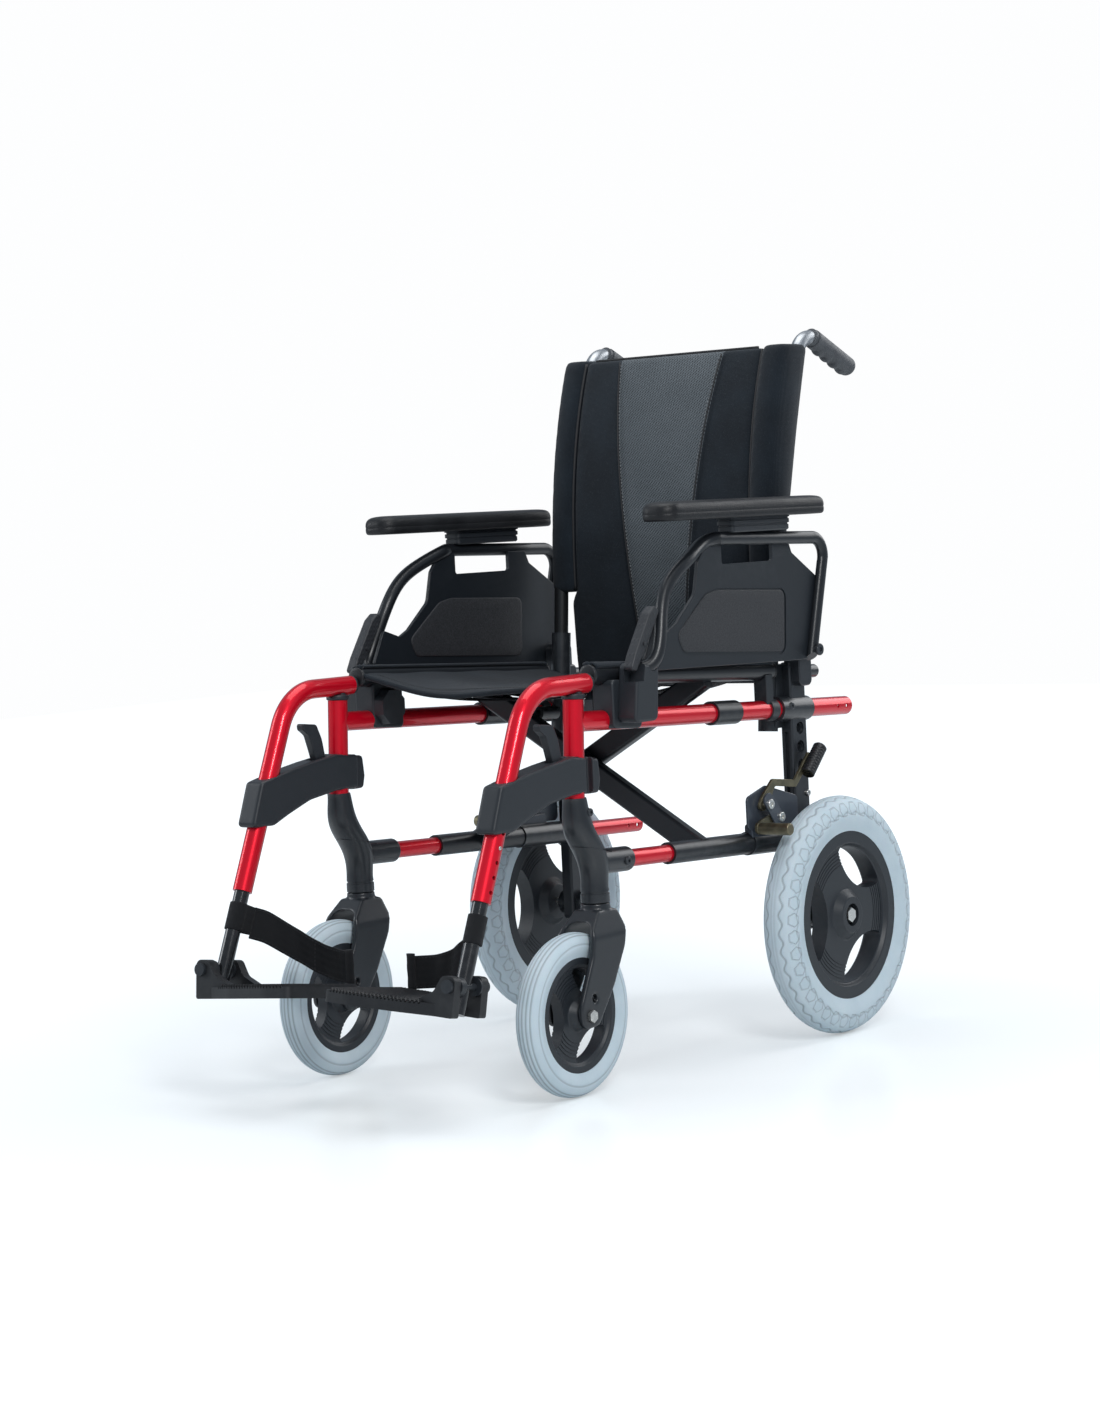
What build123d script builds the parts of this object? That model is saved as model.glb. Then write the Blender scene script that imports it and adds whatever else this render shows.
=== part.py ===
from build123d import *
import os
from math import cos, radians, sin

os.makedirs("parts", exist_ok=True)

# Folding manual wheelchair with small rear wheels, pushed by an attendant.
# +Z up, the chair faces -Y, +X is the occupant's left. Z = 0 is the floor.
# "back" is the distance behind the rear axle, "up" the height above the floor.
# The left side is modelled; the right side is its mirror image.

# ---------------------------------------------------------------- driving sizes (mm)
AXLE_Y = 289.8          # rear axle behind the middle of the footprint
FRAME_X = 191.0         # side frame's plane
FRAME_TILT = 2.5        # side tubes drop towards the rear
TUBE_GAP = 172.6        # lower tube to upper tube
UPPER_R = 12.5
LOWER_R = 11.0
UPRIGHT_R = 12.7
WALL = 2.0
RUNNING = 0.05          # radial clearance of a turning fit

REAR_WHEEL_R = 157.5
REAR_WHEEL_X = 246.0
REAR_RIM_R = 111.0
CASTER_R = 100.0
CASTER_RIM_R = 70.0
CASTER_BACK = -513.0    # caster axle
STEM_BACK = -457.0      # caster swivel axis

RAIL_X = 188.0
RAIL_R = 12.5
CROSS_RISE = 110.8      # centre pivot above the lower tubes
CROSS_OFFSET = 10.5     # each cross tube from the pivot's middle, along the frame
CROSS_BACK = -220.0     # centre pivot
POST_X = 174.0          # back post
POST_R = 9.75
ARM_X = 226.0
ARM_R = 8.5
HANGER_R = 12.25
FOOT_R = 9.5
HINGE_X = 197.0         # footplate hinge

UPRIGHT_LOW = (-489.8, 345.0)
UPRIGHT_TOP = (-482.0, 480.0)
HANGER_END = (-677.0, 257.0)
HANGER_CORNER = (-573.3, 498.0)
RAIL_FRONT = (-446.0, 507.0)
RAIL_REAR = (-54.0, 485.5)
ARM_PIVOT = (-4.0, 510.0)
FOOT_HINGE = (-716.0, 165.0)
BRAKE_PIVOT = (-110.0, 315.0)
SHOE_PIVOT = (-86.0, 296.0)


# ---------------------------------------------------------------- planes and helpers
def at(x, back, up):
    return Vector(x, AXLE_Y + back, up)


def side_plane(x):
    """Looks along +X: local x is back, local y is up."""
    return Plane(origin=at(x, 0, 0), x_dir=(0, 1, 0), z_dir=(1, 0, 0))


def front_plane(back):
    """Looks along +Y: local x is towards the occupant's left, local y is up."""
    return Plane(origin=at(0, back, 0), x_dir=(1, 0, 0), z_dir=(0, -1, 0))


def top_plane(up):
    """Looks down: local x is towards the left, local y is back."""
    return Plane(origin=at(0, 0, up), x_dir=(1, 0, 0), z_dir=(0, 0, 1))


TILT_COS = cos(radians(FRAME_TILT))
TILT_SIN = sin(radians(FRAME_TILT))
ALONG = Vector(0, TILT_COS, -TILT_SIN)      # along the side tubes, to the rear
ABOVE = Vector(0, TILT_SIN, TILT_COS)
FRAME_ORIGIN_UP = 268.6


def on_frame(x, along, above):
    """A point given along and above the lower side tube."""
    return at(x, CROSS_BACK, FRAME_ORIGIN_UP) + ALONG * along + ABOVE * above


def rod(start, end, radius):
    reach = end - start
    with BuildPart() as made:
        with BuildSketch(Plane(origin=start, z_dir=reach)):
            Circle(radius)
        extrude(amount=reach.length)
    return made.part


def tube(start, end, radius, bore):
    reach = end - start
    with BuildPart() as made:
        with BuildSketch(Plane(origin=start, z_dir=reach)):
            Circle(radius)
            Circle(bore, mode=Mode.SUBTRACT)
        extrude(amount=reach.length)
    return made.part


def bent_tube(plane, points, bends, radius, bore=0.0):
    with BuildPart() as made:
        with BuildLine(plane) as path:
            FilletPolyline(*points, radius=bends)
        with BuildSketch(Plane(origin=path.line @ 0, z_dir=path.line % 0)):
            Circle(radius)
            if bore:
                Circle(bore, mode=Mode.SUBTRACT)
        sweep(path=path.line)
    return made.part


def plate(plane, points, corner, thickness, edge=0.0):
    """A flat piece with rounded corners and softened edges, grown along the plane's normal."""
    with BuildPart() as made:
        with BuildSketch(plane):
            with BuildLine():
                FilletPolyline(*points, radius=corner, close=True)
            make_face()
        extrude(amount=thickness)
        if edge:
            flat_ends = made.faces().filter_by(Axis(plane.origin, plane.z_dir))
            fillet(flat_ends.edges(), radius=edge)
    return made.part


def save(piece, name):
    piece.part.label = name
    export_step(piece.part, f"parts/{name}.step")


def save_pair(piece, name):
    """Writes the left piece and its mirror image."""
    save(piece, f"left_{name}")
    with BuildPart() as right:
        mirror(piece.part, about=Plane.YZ)
    save(right, f"right_{name}")


# ---------------------------------------------------------------- shared axes
upright_low = at(FRAME_X, *UPRIGHT_LOW)
upright_top = at(FRAME_X, *UPRIGHT_TOP)
upright_dir = (upright_top - upright_low).normalized()
upper_front = on_frame(FRAME_X, -271.3, TUBE_GAP)
upper_rear = on_frame(FRAME_X, 335.0, TUBE_GAP)
lower_front = on_frame(FRAME_X, -205.0, 0)
lower_rear = on_frame(FRAME_X, 370.0, 0)
rail_front = at(RAIL_X, *RAIL_FRONT)
rail_rear = at(RAIL_X, *RAIL_REAR)
POST_PATH = [(-36.3, 453.0), (-16.5, 676), (80.2, 937.3), (182.0, 892.5)]
POST_BENDS = [140.0, 32.0]

upright_core = rod(upright_low, upright_top, UPRIGHT_R)
upper_core = rod(upper_front, upper_rear, UPPER_R)
lower_core = rod(lower_front, lower_rear, LOWER_R)
post_core = bent_tube(side_plane(POST_X), POST_PATH, POST_BENDS, POST_R)

ARM_PATH_REAR = [(-208, 664), (37, 657), (-6.5, 501)]
arm_plane = side_plane(ARM_X)


def arm_solid(radius):
    """The armrest's bent bar: a spline front and a filleted rear."""
    with BuildPart() as made:
        with BuildLine(arm_plane) as path:
            front = Spline((-387.5, 511.5), (-334, 597), (-276, 642), (-208, 664), tangents=((0.43, 0.9), (1, -0.03)))
            FilletPolyline(*ARM_PATH_REAR, radius=24)
        with BuildSketch(Plane(origin=front @ 0, z_dir=front % 0)):
            Circle(radius)
        sweep(path=path.line)
    return made.part


arm_core = arm_solid(ARM_R)


# ---------------------------------------------------------------- zinc screws and axle
SCREW_SHAFT_R = 2.5


def screw(head_at, outward, head_r, head_h, shaft_r, shaft):
    """A dome-headed screw whose head stands on head_at, with a hexagon socket."""
    outward = Vector(outward).normalized()
    with BuildPart() as made:
        add(rod(head_at, head_at + outward * head_h, head_r))
        fillet(made.edges().sort_by(Axis(head_at, outward))[-1], radius=head_h * 0.45)
        with BuildSketch(Plane(origin=head_at + outward * head_h, z_dir=outward)):
            RegularPolygon(head_r * 0.45, 6)
        extrude(amount=-head_h * 0.6, mode=Mode.SUBTRACT)
        add(rod(head_at - outward * shaft, head_at, shaft_r))
    return made.part


def hex_bolt(middle, half_grip, shaft_r, head_r, head_h):
    """A bolt along X with its head outboard and its nut inboard."""
    outer = middle + Vector(half_grip, 0, 0)
    inner = middle - Vector(half_grip, 0, 0)
    with BuildPart() as made:
        add(rod(inner, outer, shaft_r))
        with BuildSketch(Plane(origin=outer, z_dir=(1, 0, 0))):
            RegularPolygon(head_r, 6)
        extrude(amount=head_h)
        with BuildSketch(Plane(origin=inner, z_dir=(-1, 0, 0))):
            RegularPolygon(head_r, 6)
        extrude(amount=head_h)
        chamfer(made.faces().sort_by(Axis.X)[-1].edges(), length=1.0)
        chamfer(made.faces().sort_by(Axis.X)[0].edges(), length=1.0)
    return made.part


AXLE_X = (172.0, 262.0)
axle_middle = at(sum(AXLE_X) / 2, 0, REAR_WHEEL_R)
axle_half = (AXLE_X[1] - AXLE_X[0]) / 2
BRAKE_OUTER_X = 219.5
with BuildPart() as frame_bolts:
    add(hex_bolt(axle_middle, axle_half, 6.0, 10.0, 6.0))
    add(screw(at(FRAME_X + 15.0, -480, 343), (1, 0, 0), 5.0, 3, SCREW_SHAFT_R, 5))
    add(screw(at(FRAME_X + 15.0, -408, 275.5), (1, 0, 0), 5.5, 3, SCREW_SHAFT_R, 3))
    add(screw(at(FRAME_X + 14.3, -30, 437), (1, 0, 0), 5.0, 2.8, SCREW_SHAFT_R, 1.2))
    add(screw(at(FRAME_X + 9.0, 8, 318), (1, 0, 0), 4.5, 3, SCREW_SHAFT_R, 8))
    for back, up in (BRAKE_PIVOT, SHOE_PIVOT):
        add(screw(at(BRAKE_OUTER_X, back, up), (1, 0, 0), 6.5, 3, 3.5, 24))
    # armrest pivot pin, in the post's ear
    add(screw(at(236, *ARM_PIVOT), (1, 0, 0), 8.0, 3, 5.0, 33))
save_pair(frame_bolts, "frame_bolts")


# ---------------------------------------------------------------- painted frame tubes
with BuildPart() as frame_tubes:
    add(upright_core)
    add(upper_core)
    fillet(frame_tubes.faces().filter_by(GeomType.CYLINDER).edges().filter_by(GeomType.BSPLINE), radius=2.5)
    add(rod(upright_low, upright_top, UPRIGHT_R - WALL), mode=Mode.SUBTRACT)
    add(rod(on_frame(FRAME_X, -256, TUBE_GAP), upper_rear, UPPER_R - WALL), mode=Mode.SUBTRACT)
    add(tube(lower_front, lower_rear, LOWER_R, LOWER_R - WALL))
    for along, above in ((300, TUBE_GAP), (322, TUBE_GAP), (335, 0), (357, 0)):
        middle = on_frame(FRAME_X, along, above)
        add(rod(middle - Vector(20, 0, 0), middle + Vector(20, 0, 0), 2.6), mode=Mode.SUBTRACT)
save_pair(frame_tubes, "frame_tubes")


# ---------------------------------------------------------------- caster housing
STEM_R = 8.0
STEM_TOP = 298.0
HOUSING_LOW = 230.5
HOUSING_SECTIONS = [
    (-489.4, 361, 14.8), (-487, 338, 17.3), (-478, 313, 20.3),
    (-464, 292, 20.3), (-457, 270, 18.2), (-457, 244, 17.6),
]
with BuildPart() as caster_housing:
    for back, up, radius in HOUSING_SECTIONS:
        with BuildSketch(Plane(origin=at(FRAME_X, back, up), z_dir=(0, 0, 1))):
            Circle(radius)
    loft()
    add(rod(on_frame(FRAME_X, -236, 0), on_frame(FRAME_X, -170, 0), 15.5))
    fillet(caster_housing.edges().sort_by(Axis.Y)[-1], radius=3)
    # turned foot with a shadow groove above it
    add(rod(at(FRAME_X, STEM_BACK, HOUSING_LOW), at(FRAME_X, STEM_BACK, 245), 16.6))
    add(rod(at(FRAME_X, STEM_BACK, HOUSING_LOW), at(FRAME_X, STEM_BACK, 241), 17.9))
    # slanted seam between the two halves of the casting
    seam = Plane(origin=at(FRAME_X, -470, 297), x_dir=(1, 0, 0), z_dir=(0, 0.2, 0.98))
    with BuildSketch(seam):
        Circle(40)
        Circle(20.1, mode=Mode.SUBTRACT)
    extrude(amount=0.9, mode=Mode.SUBTRACT)
    add(upright_core, mode=Mode.SUBTRACT)
    add(lower_core, mode=Mode.SUBTRACT)
    add(rod(at(FRAME_X, STEM_BACK, 220), at(FRAME_X, STEM_BACK, 300), STEM_R + RUNNING), mode=Mode.SUBTRACT)
    add(frame_bolts.part, mode=Mode.SUBTRACT)
save_pair(caster_housing, "caster_housing")


# ---------------------------------------------------------------- rear post casting
POST_INNER_X = 182.0
POST_THICK = 18.0
EAR_X = 203.0
HOLE_UPS = (406.0, 381.0, 356.0)
with BuildPart() as rear_post:
    add(plate(side_plane(POST_INNER_X), [(-22, 135), (14, 135), (14, 494), (-22, 494)], 8, POST_THICK, 3))
    # fork at the axle
    add(rod(at(174, 0, REAR_WHEEL_R), at(212, 0, REAR_WHEEL_R), 17))
    # clamps around the two side tubes
    add(rod(on_frame(FRAME_X, 165, TUBE_GAP), on_frame(FRAME_X, 236, TUBE_GAP), 16.5))
    add(rod(on_frame(FRAME_X, 93, 0), on_frame(FRAME_X, 236, 0), 15.5))
    # socket of the back post, with its web
    socket_low = at(POST_X, -40.7, 404)
    socket_top = at(POST_X, -28.6, 540)
    add(rod(socket_low, socket_top, 13.2))
    add(plate(side_plane(POST_INNER_X - 8), [(-44, 408), (-4, 408), (-4, 492), (-36, 492)], 4, 14))
    # ear of the armrest pivot, and the short stub behind the post
    add(plate(side_plane(POST_INNER_X + 6), [(-18, 462), (12, 462), (12, 524), (-18, 524)], 9, EAR_X + 10 - 188, 2))
    add(rod(at(FRAME_X, 8, 480), at(FRAME_X, 50, 478.5), 9))
    fillet(rear_post.edges().sort_by(Axis.Y)[-1], radius=2)
    # axle-height holes with wide mouths
    for up in HOLE_UPS:
        add(rod(at(150, -3, up), at(230, -3, up), 6), mode=Mode.SUBTRACT)
        add(rod(at(POST_INNER_X + POST_THICK - 3, -3, up), at(230, -3, up), 8.5), mode=Mode.SUBTRACT)
    # groove down the front face
    groove = [(-26, 285), (-18.5, 285), (-18.5, 402), (-26, 402)]
    add(plate(side_plane(POST_INNER_X + 6), groove, 1, 6), mode=Mode.SUBTRACT)
    for core in (upper_core, lower_core, post_core, frame_bolts.part):
        add(core, mode=Mode.SUBTRACT)
save_pair(rear_post, "rear_post")


# ---------------------------------------------------------------- back post and push grip
with BuildPart() as back_post:
    add(bent_tube(side_plane(POST_X), POST_PATH, POST_BENDS, POST_R, POST_R - 1.6))
save_pair(back_post, "back_post")

GRIP_START = (108.6, 924.8)
GRIP_END = (199.0, 885.0)
GRIP_R = 13.2
grip_start = at(POST_X, *GRIP_START)
grip_end = at(POST_X, *GRIP_END)
grip_dir = (grip_end - grip_start).normalized()
grip_down = Vector(0, grip_dir.Z, -grip_dir.Y)
with BuildPart() as push_grip:
    add(rod(grip_start, grip_end, GRIP_R))
    add(rod(grip_start - grip_dir * 7, grip_start, 12))
    fillet(push_grip.edges().sort_by(Axis(grip_start, grip_dir))[-1], radius=9)
    # four finger bumps underneath
    for index in range(4):
        bump = grip_start + grip_dir * (20 + 20 * index) + grip_down * 4.5
        with BuildSketch(Plane(origin=bump, x_dir=grip_dir, z_dir=(1, 0, 0))) as lobe:
            with BuildLine():
                CenterArc((0, 0), 11.5, 0, 180)
                Line((-11.5, 0), (11.5, 0))
            make_face()
        revolve(axis=Axis(bump, grip_dir))
    add(post_core, mode=Mode.SUBTRACT)
save_pair(push_grip, "push_grip")


# ---------------------------------------------------------------- cradle and rest of the seat rail
CRADLE_R = 13.0
with BuildPart() as rail_cradles:
    # front block: clamps the upper tube, cups the rail and holds the armrest's front end
    add(plate(side_plane(178), [(-427, 440), (-368, 436), (-368, 496), (-427, 500)], 7, 32, 3))
    add(plate(side_plane(208), [(-420, 446), (-372, 446), (-366, 512), (-410, 520)], 8, 30, 4))
    # octagonal clamp knob under the rail
    with BuildSketch(Plane(origin=at(178, -403, 466), x_dir=(0, 1, 0), z_dir=(-1, 0, 0))):
        RegularPolygon(25, 8, rotation=22.5)
    extrude(amount=14, taper=6)
    # rear rest: clamp ring on the upper tube and a half cup for the rail
    ring_low = on_frame(FRAME_X, 141, TUBE_GAP)
    ring_high = on_frame(FRAME_X, 157, TUBE_GAP)
    add(rod(ring_low, ring_high, 15))
    add(plate(side_plane(181), [(-80, 440), (-64, 440), (-64, 482), (-80, 482)], 2, 20, 1))
    # room for the rail, which lifts straight out, and for the tubes
    for drop in range(3):
        lift = Vector(0, 0, 14 * drop)
        add(rod(rail_front + lift, rail_rear + lift, CRADLE_R), mode=Mode.SUBTRACT)
    add(upper_core, mode=Mode.SUBTRACT)
    # open-topped socket for the armrest tube
    add(rod(at(ARM_X, -387, 507.5), at(ARM_X, -387, 540), ARM_R + 0.8), mode=Mode.SUBTRACT)
    add(arm_solid(ARM_R + 0.6), mode=Mode.SUBTRACT)
    # corner left free for the armrest lever's travel
    corner = [(-440, 496), (-400, 496), (-392, 530), (-440, 530)]
    add(plate(side_plane(ARM_X - 9), corner, 1, 30), mode=Mode.SUBTRACT)
save_pair(rail_cradles, "rail_cradles")


# ---------------------------------------------------------------- folding strut
STRUT_REACH = 96.0
STRUT_ALONG = 43.0
with BuildPart() as strut:
    add(rod(on_frame(FRAME_X, 16, TUBE_GAP), on_frame(FRAME_X, 70, TUBE_GAP), 15.5))
    with BuildSketch(Plane(origin=on_frame(FRAME_X, STRUT_ALONG, TUBE_GAP - 4), x_dir=(-1, 0, 0), z_dir=-ABOVE)):
        with BuildLine():
            Polyline((0, -26), (0, 26), (30, 18), (STRUT_REACH, 8), (STRUT_REACH, -8), (30, -20), close=True)
        make_face()
    extrude(amount=-8)
    add(rod(on_frame(FRAME_X - STRUT_REACH, 23, TUBE_GAP), on_frame(FRAME_X - STRUT_REACH, 60, TUBE_GAP), 9))
    add(rod(on_frame(FRAME_X - STRUT_REACH, 0, TUBE_GAP), on_frame(FRAME_X - STRUT_REACH, 80, TUBE_GAP), 5),
        mode=Mode.SUBTRACT)
    add(rod(on_frame(FRAME_X, 0, TUBE_GAP), on_frame(FRAME_X, 90, TUBE_GAP), UPPER_R + RUNNING),
        mode=Mode.SUBTRACT)
save_pair(strut, "folding_strut")


# ---------------------------------------------------------------- wheels
def wheel(middle, sizes, bore_r, lens_r, lens_at, lens_rim):
    """Composite wheel with three lens-shaped openings and ridged spokes."""
    hub_r, hub_half, web_half, web_in, web_out, rim_r, rim_half, recess = sizes
    section = Plane(origin=middle, x_dir=(1, 0, 0), z_dir=(0, -1, 0))
    face_on = Plane(origin=middle - Vector(rim_half + 5, 0, 0), x_dir=(0, 1, 0), z_dir=(1, 0, 0))
    with BuildPart() as made:
        with BuildSketch(section):
            with BuildLine():
                FilletPolyline(
                    (-hub_half, 0.5), (-hub_half, hub_r), (-web_half, web_in), (-web_half, web_out),
                    (-rim_half, web_out + 4), (-rim_half, rim_r), (rim_half, rim_r), (rim_half, web_out + 4),
                    (web_half, web_out), (web_half, web_in), (hub_half, hub_r), (hub_half, recess),
                    (hub_half - 9, recess), (hub_half - 9, 0.5),
                    radius=(0, 2, 3, 3, 2, 0.8, 0.8, 2, 3, 3, 2, 0, 0, 0), close=True,
                )
            make_face()
        revolve(axis=Axis(middle, (1, 0, 0)))
        with BuildSketch(face_on) as lens:
            with PolarLocations(0, 3, start_angle=60):
                with Locations((lens_at, 0)):
                    Circle(lens_r)
            Circle(lens_rim, mode=Mode.INTERSECT)
            fillet(lens.vertices(), radius=lens_rim * 0.07)
        extrude(amount=2 * rim_half + 10, mode=Mode.SUBTRACT)
        # concentric ridges on the spokes
        for index in range(5):
            ridge = web_out - 5 - 4.5 * index
            for side in (-1, 1):
                start = middle + Vector(side * (web_half - 0.8), 0, 0)
                finish = middle + Vector(side * (web_half + 1), 0, 0)
                add(tube(start, finish, ridge, ridge - 1.6), mode=Mode.SUBTRACT)
        add(rod(middle - Vector(60, 0, 0), middle + Vector(60, 0, 0), bore_r), mode=Mode.SUBTRACT)
    return made.part


def tyre(middle, outer_r, rim_r, rim_half, belly):
    """Solid tyre seated on the rim; its widest line lies a little outside the rim."""
    section = Plane(origin=middle, x_dir=(1, 0, 0), z_dir=(0, -1, 0))
    depth = outer_r - rim_r
    with BuildPart() as made:
        with BuildSketch(section):
            with BuildLine():
                right = Spline((rim_half, rim_r), (belly, rim_r + 0.45 * depth),
                               (belly * 0.72, rim_r + 0.86 * depth), (0, outer_r),
                               tangents=((0.5, 1), (-1, 0)))
                mirror(right, about=Plane.YZ)
                Line((-rim_half, rim_r), (rim_half, rim_r))
            make_face()
        revolve(axis=Axis(middle, (1, 0, 0)))
    return made.part


rear_middle = at(REAR_WHEEL_X, 0, REAR_WHEEL_R)
REAR_SIZES = (24, 22, 12, 34, 91, REAR_RIM_R, 18, 15)
with BuildPart() as rear_wheel:
    add(wheel(rear_middle, REAR_SIZES, 6 + RUNNING, 72, 117, 90))
    # clear of the bolt's head and nut
    add(rod(at(AXLE_X[1] - 0.5, 0, REAR_WHEEL_R), at(300, 0, REAR_WHEEL_R), 12), mode=Mode.SUBTRACT)
save_pair(rear_wheel, "rear_wheel")

with BuildPart() as rear_tyre:
    add(tyre(rear_middle, REAR_WHEEL_R, REAR_RIM_R, 18, 24))
save_pair(rear_tyre, "rear_tyre")

caster_middle = at(FRAME_X, CASTER_BACK, CASTER_R)
CASTER_SIZES = (13, 18.5, 8, 20, 58, CASTER_RIM_R, 12, 7)
with BuildPart() as caster_wheel:
    add(wheel(caster_middle, CASTER_SIZES, 5 + RUNNING, 45, 73, 57))
save_pair(caster_wheel, "caster_wheel")

with BuildPart() as caster_tyre:
    add(tyre(caster_middle, CASTER_R, CASTER_RIM_R, 12, 16))
save_pair(caster_tyre, "caster_tyre")


# ---------------------------------------------------------------- caster fork and axle
FORK_HALF = 28.5
FORK_GAP = 20.5
with BuildPart() as caster_axle:
    add(hex_bolt(caster_middle, FORK_HALF + 0.3, 5.0, 8.0, 5.0))
save_pair(caster_axle, "caster_axle")

with BuildPart() as caster_fork:
    # side outline: crown under the collar, legs sweeping forward to the axle
    with BuildSketch(side_plane(FRAME_X - FORK_HALF)):
        with BuildLine():
            FilletPolyline(
                (-476, 222), (-438, 222), (-432, 200), (-437, 176), (-462, 131), (-496, 86),
                (-528, 84), (-531, 112), (-503, 170), (-498, 200),
                radius=(3, 7, 10, 22, 30, 14, 12, 28, 14, 10), close=True,
            )
        make_face()
    extrude(amount=2 * FORK_HALF)
    # front outline: shoulders narrow towards the collar
    with BuildSketch(front_plane(-600)):
        with BuildLine():
            FilletPolyline(
                (FRAME_X - 17, 226), (FRAME_X + 17, 226), (FRAME_X + FORK_HALF, 192), (FRAME_X + FORK_HALF, 70),
                (FRAME_X - FORK_HALF, 70), (FRAME_X - FORK_HALF, 192),
                radius=(3, 3, 22, 4, 4, 22), close=True,
            )
        make_face()
    extrude(amount=-300, mode=Mode.INTERSECT)
    # wheel room with a rounded top
    with BuildSketch(front_plane(-650)):
        with BuildLine():
            FilletPolyline(
                (FRAME_X - FORK_GAP, 40), (FRAME_X - FORK_GAP, 209), (FRAME_X + FORK_GAP, 209), (FRAME_X + FORK_GAP, 40),
                radius=(0, 14, 14, 0), close=True,
            )
        make_face()
    extrude(amount=-400, mode=Mode.SUBTRACT)
    add(rod(at(FRAME_X, STEM_BACK, 214), at(FRAME_X, STEM_BACK, 229.5), 18))
    add(rod(at(FRAME_X, STEM_BACK, 214), at(FRAME_X, STEM_BACK, STEM_TOP), STEM_R))
    # spare axle hole above the axle
    add(rod(at(100, -503, 120), at(300, -503, 120), 5), mode=Mode.SUBTRACT)
    add(rod(at(100, CASTER_BACK, CASTER_R), at(300, CASTER_BACK, CASTER_R), 5), mode=Mode.SUBTRACT)
save_pair(caster_fork, "caster_fork")


# ---------------------------------------------------------------- hanger
HANGER_PATH = [(-457, 498), HANGER_CORNER, HANGER_END]
HANGER_BEND = 70.0
HANGER_BORE = FOOT_R + 0.1
hanger_core = bent_tube(side_plane(FRAME_X), HANGER_PATH, HANGER_BEND, HANGER_R)
leg_dir = (at(0, *HANGER_END) - at(0, *HANGER_CORNER)).normalized()
hanger_end = at(FRAME_X, *HANGER_END)
HOLE_STEP = 18.0
with BuildPart() as hanger_tube:
    add(bent_tube(side_plane(FRAME_X), HANGER_PATH, HANGER_BEND, HANGER_R, HANGER_BORE))
    for index in range(5):
        hole = hanger_end - leg_dir * (13 + HOLE_STEP * index)
        add(rod(hole, hole + Vector(30, 0, 0), 2.7), mode=Mode.SUBTRACT)
save_pair(hanger_tube, "hanger_tube")

with BuildPart() as hanger_latch:
    # wrap around the hanger leg, arm, and jaw around the upright
    outline = [(-666, 335), (-626, 334), (-598, 345), (-557, 359), (-506, 366), (-466, 366),
               (-464, 409), (-504, 413), (-554, 407), (-593, 401), (-645, 390)]
    corners = (5, 14, 40, 60, 30, 3, 3, 20, 60, 20, 6)
    add(plate(side_plane(FRAME_X - 15), outline, corners, 30, 4))
    # rear knob of the jaw
    add(plate(side_plane(FRAME_X - 10), [(-474, 364), (-450, 364), (-446, 380), (-449, 407), (-474, 407)], 5, 20, 4))
    add(hanger_core, mode=Mode.SUBTRACT)
    jaw_low = upright_top - upright_dir * 150
    add(rod(jaw_low, upright_top, UPRIGHT_R + 0.4), mode=Mode.SUBTRACT)
    # gap of the jaw, outboard and behind the upright
    add(plate(side_plane(FRAME_X + 6), [(-481, 350), (-468, 350), (-468, 420), (-481, 420)], 1, 20), mode=Mode.SUBTRACT)
    # slot of the release lever
    slot = [(-542, 374), (-509, 374), (-509, 430), (-542, 430)]
    add(plate(side_plane(FRAME_X - 6.5), slot, 2, 13), mode=Mode.SUBTRACT)
    add(rod(at(FRAME_X - 11, -525, 392), at(FRAME_X + 11, -525, 392), 3))
    # plug on the upright: collar, saddle under the hanger tube and pivot pin
    collar_low = upright_top + upright_dir * 0.4
    add(rod(collar_low, collar_low + upright_dir * 6.5, 14.5))
    add(rod(collar_low, collar_low + upright_dir * 16, 10.4))
    add(rod(upright_top - upright_dir * 62, collar_low, UPRIGHT_R - WALL - 0.1))
    add(hanger_core, mode=Mode.SUBTRACT)
    # cap in the hanger's rear end
    add(rod(at(FRAME_X, -457, 498), at(FRAME_X, -452, 498), HANGER_R))
save_pair(hanger_latch, "hanger_latch")

LEVER_PIVOT = (-525.0, 392.0)
with BuildPart() as release_lever:
    lever = [(-531, 386), (-518, 386), (-516, 410), (-521, 434), (-530, 453), (-557, 456), (-556, 448),
             (-545, 440), (-538, 420), (-533, 404)]
    add(plate(side_plane(FRAME_X - 5.5), lever, (4, 4, 20, 30, 6, 3, 3, 10, 20, 10), 11, 1.5))
    add(rod(at(150, *LEVER_PIVOT), at(250, *LEVER_PIVOT), 3 + RUNNING), mode=Mode.SUBTRACT)
save_pair(release_lever, "release_lever")


# ---------------------------------------------------------------- footrest
FOOT_LOW = 134.0
foot_end = hanger_end + leg_dir * ((HANGER_END[1] - FOOT_LOW) / -leg_dir.Z)
foot_top = hanger_end - leg_dir * 105
TOE_UP = radians(8.5)
PLATE_RISE = radians(3.5)
hinge = at(HINGE_X, *FOOT_HINGE)
toe_dir = Vector(0, -cos(TOE_UP), sin(TOE_UP))
plate_up = Vector(sin(PLATE_RISE), sin(TOE_UP) * cos(PLATE_RISE), cos(TOE_UP) * cos(PLATE_RISE))
inboard_dir = toe_dir.cross(plate_up)
PIN_R = 4.0
DISC_R = 11.0

with BuildPart() as footrest_tube:
    add(rod(foot_top, foot_end, FOOT_R))
    add(rod(foot_top, foot_end - leg_dir * 45, FOOT_R - WALL), mode=Mode.SUBTRACT)
    add(rod(hinge - toe_dir * 50, hinge + toe_dir * 50, PIN_R + RUNNING), mode=Mode.SUBTRACT)
save_pair(footrest_tube, "footrest_tube")

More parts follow.
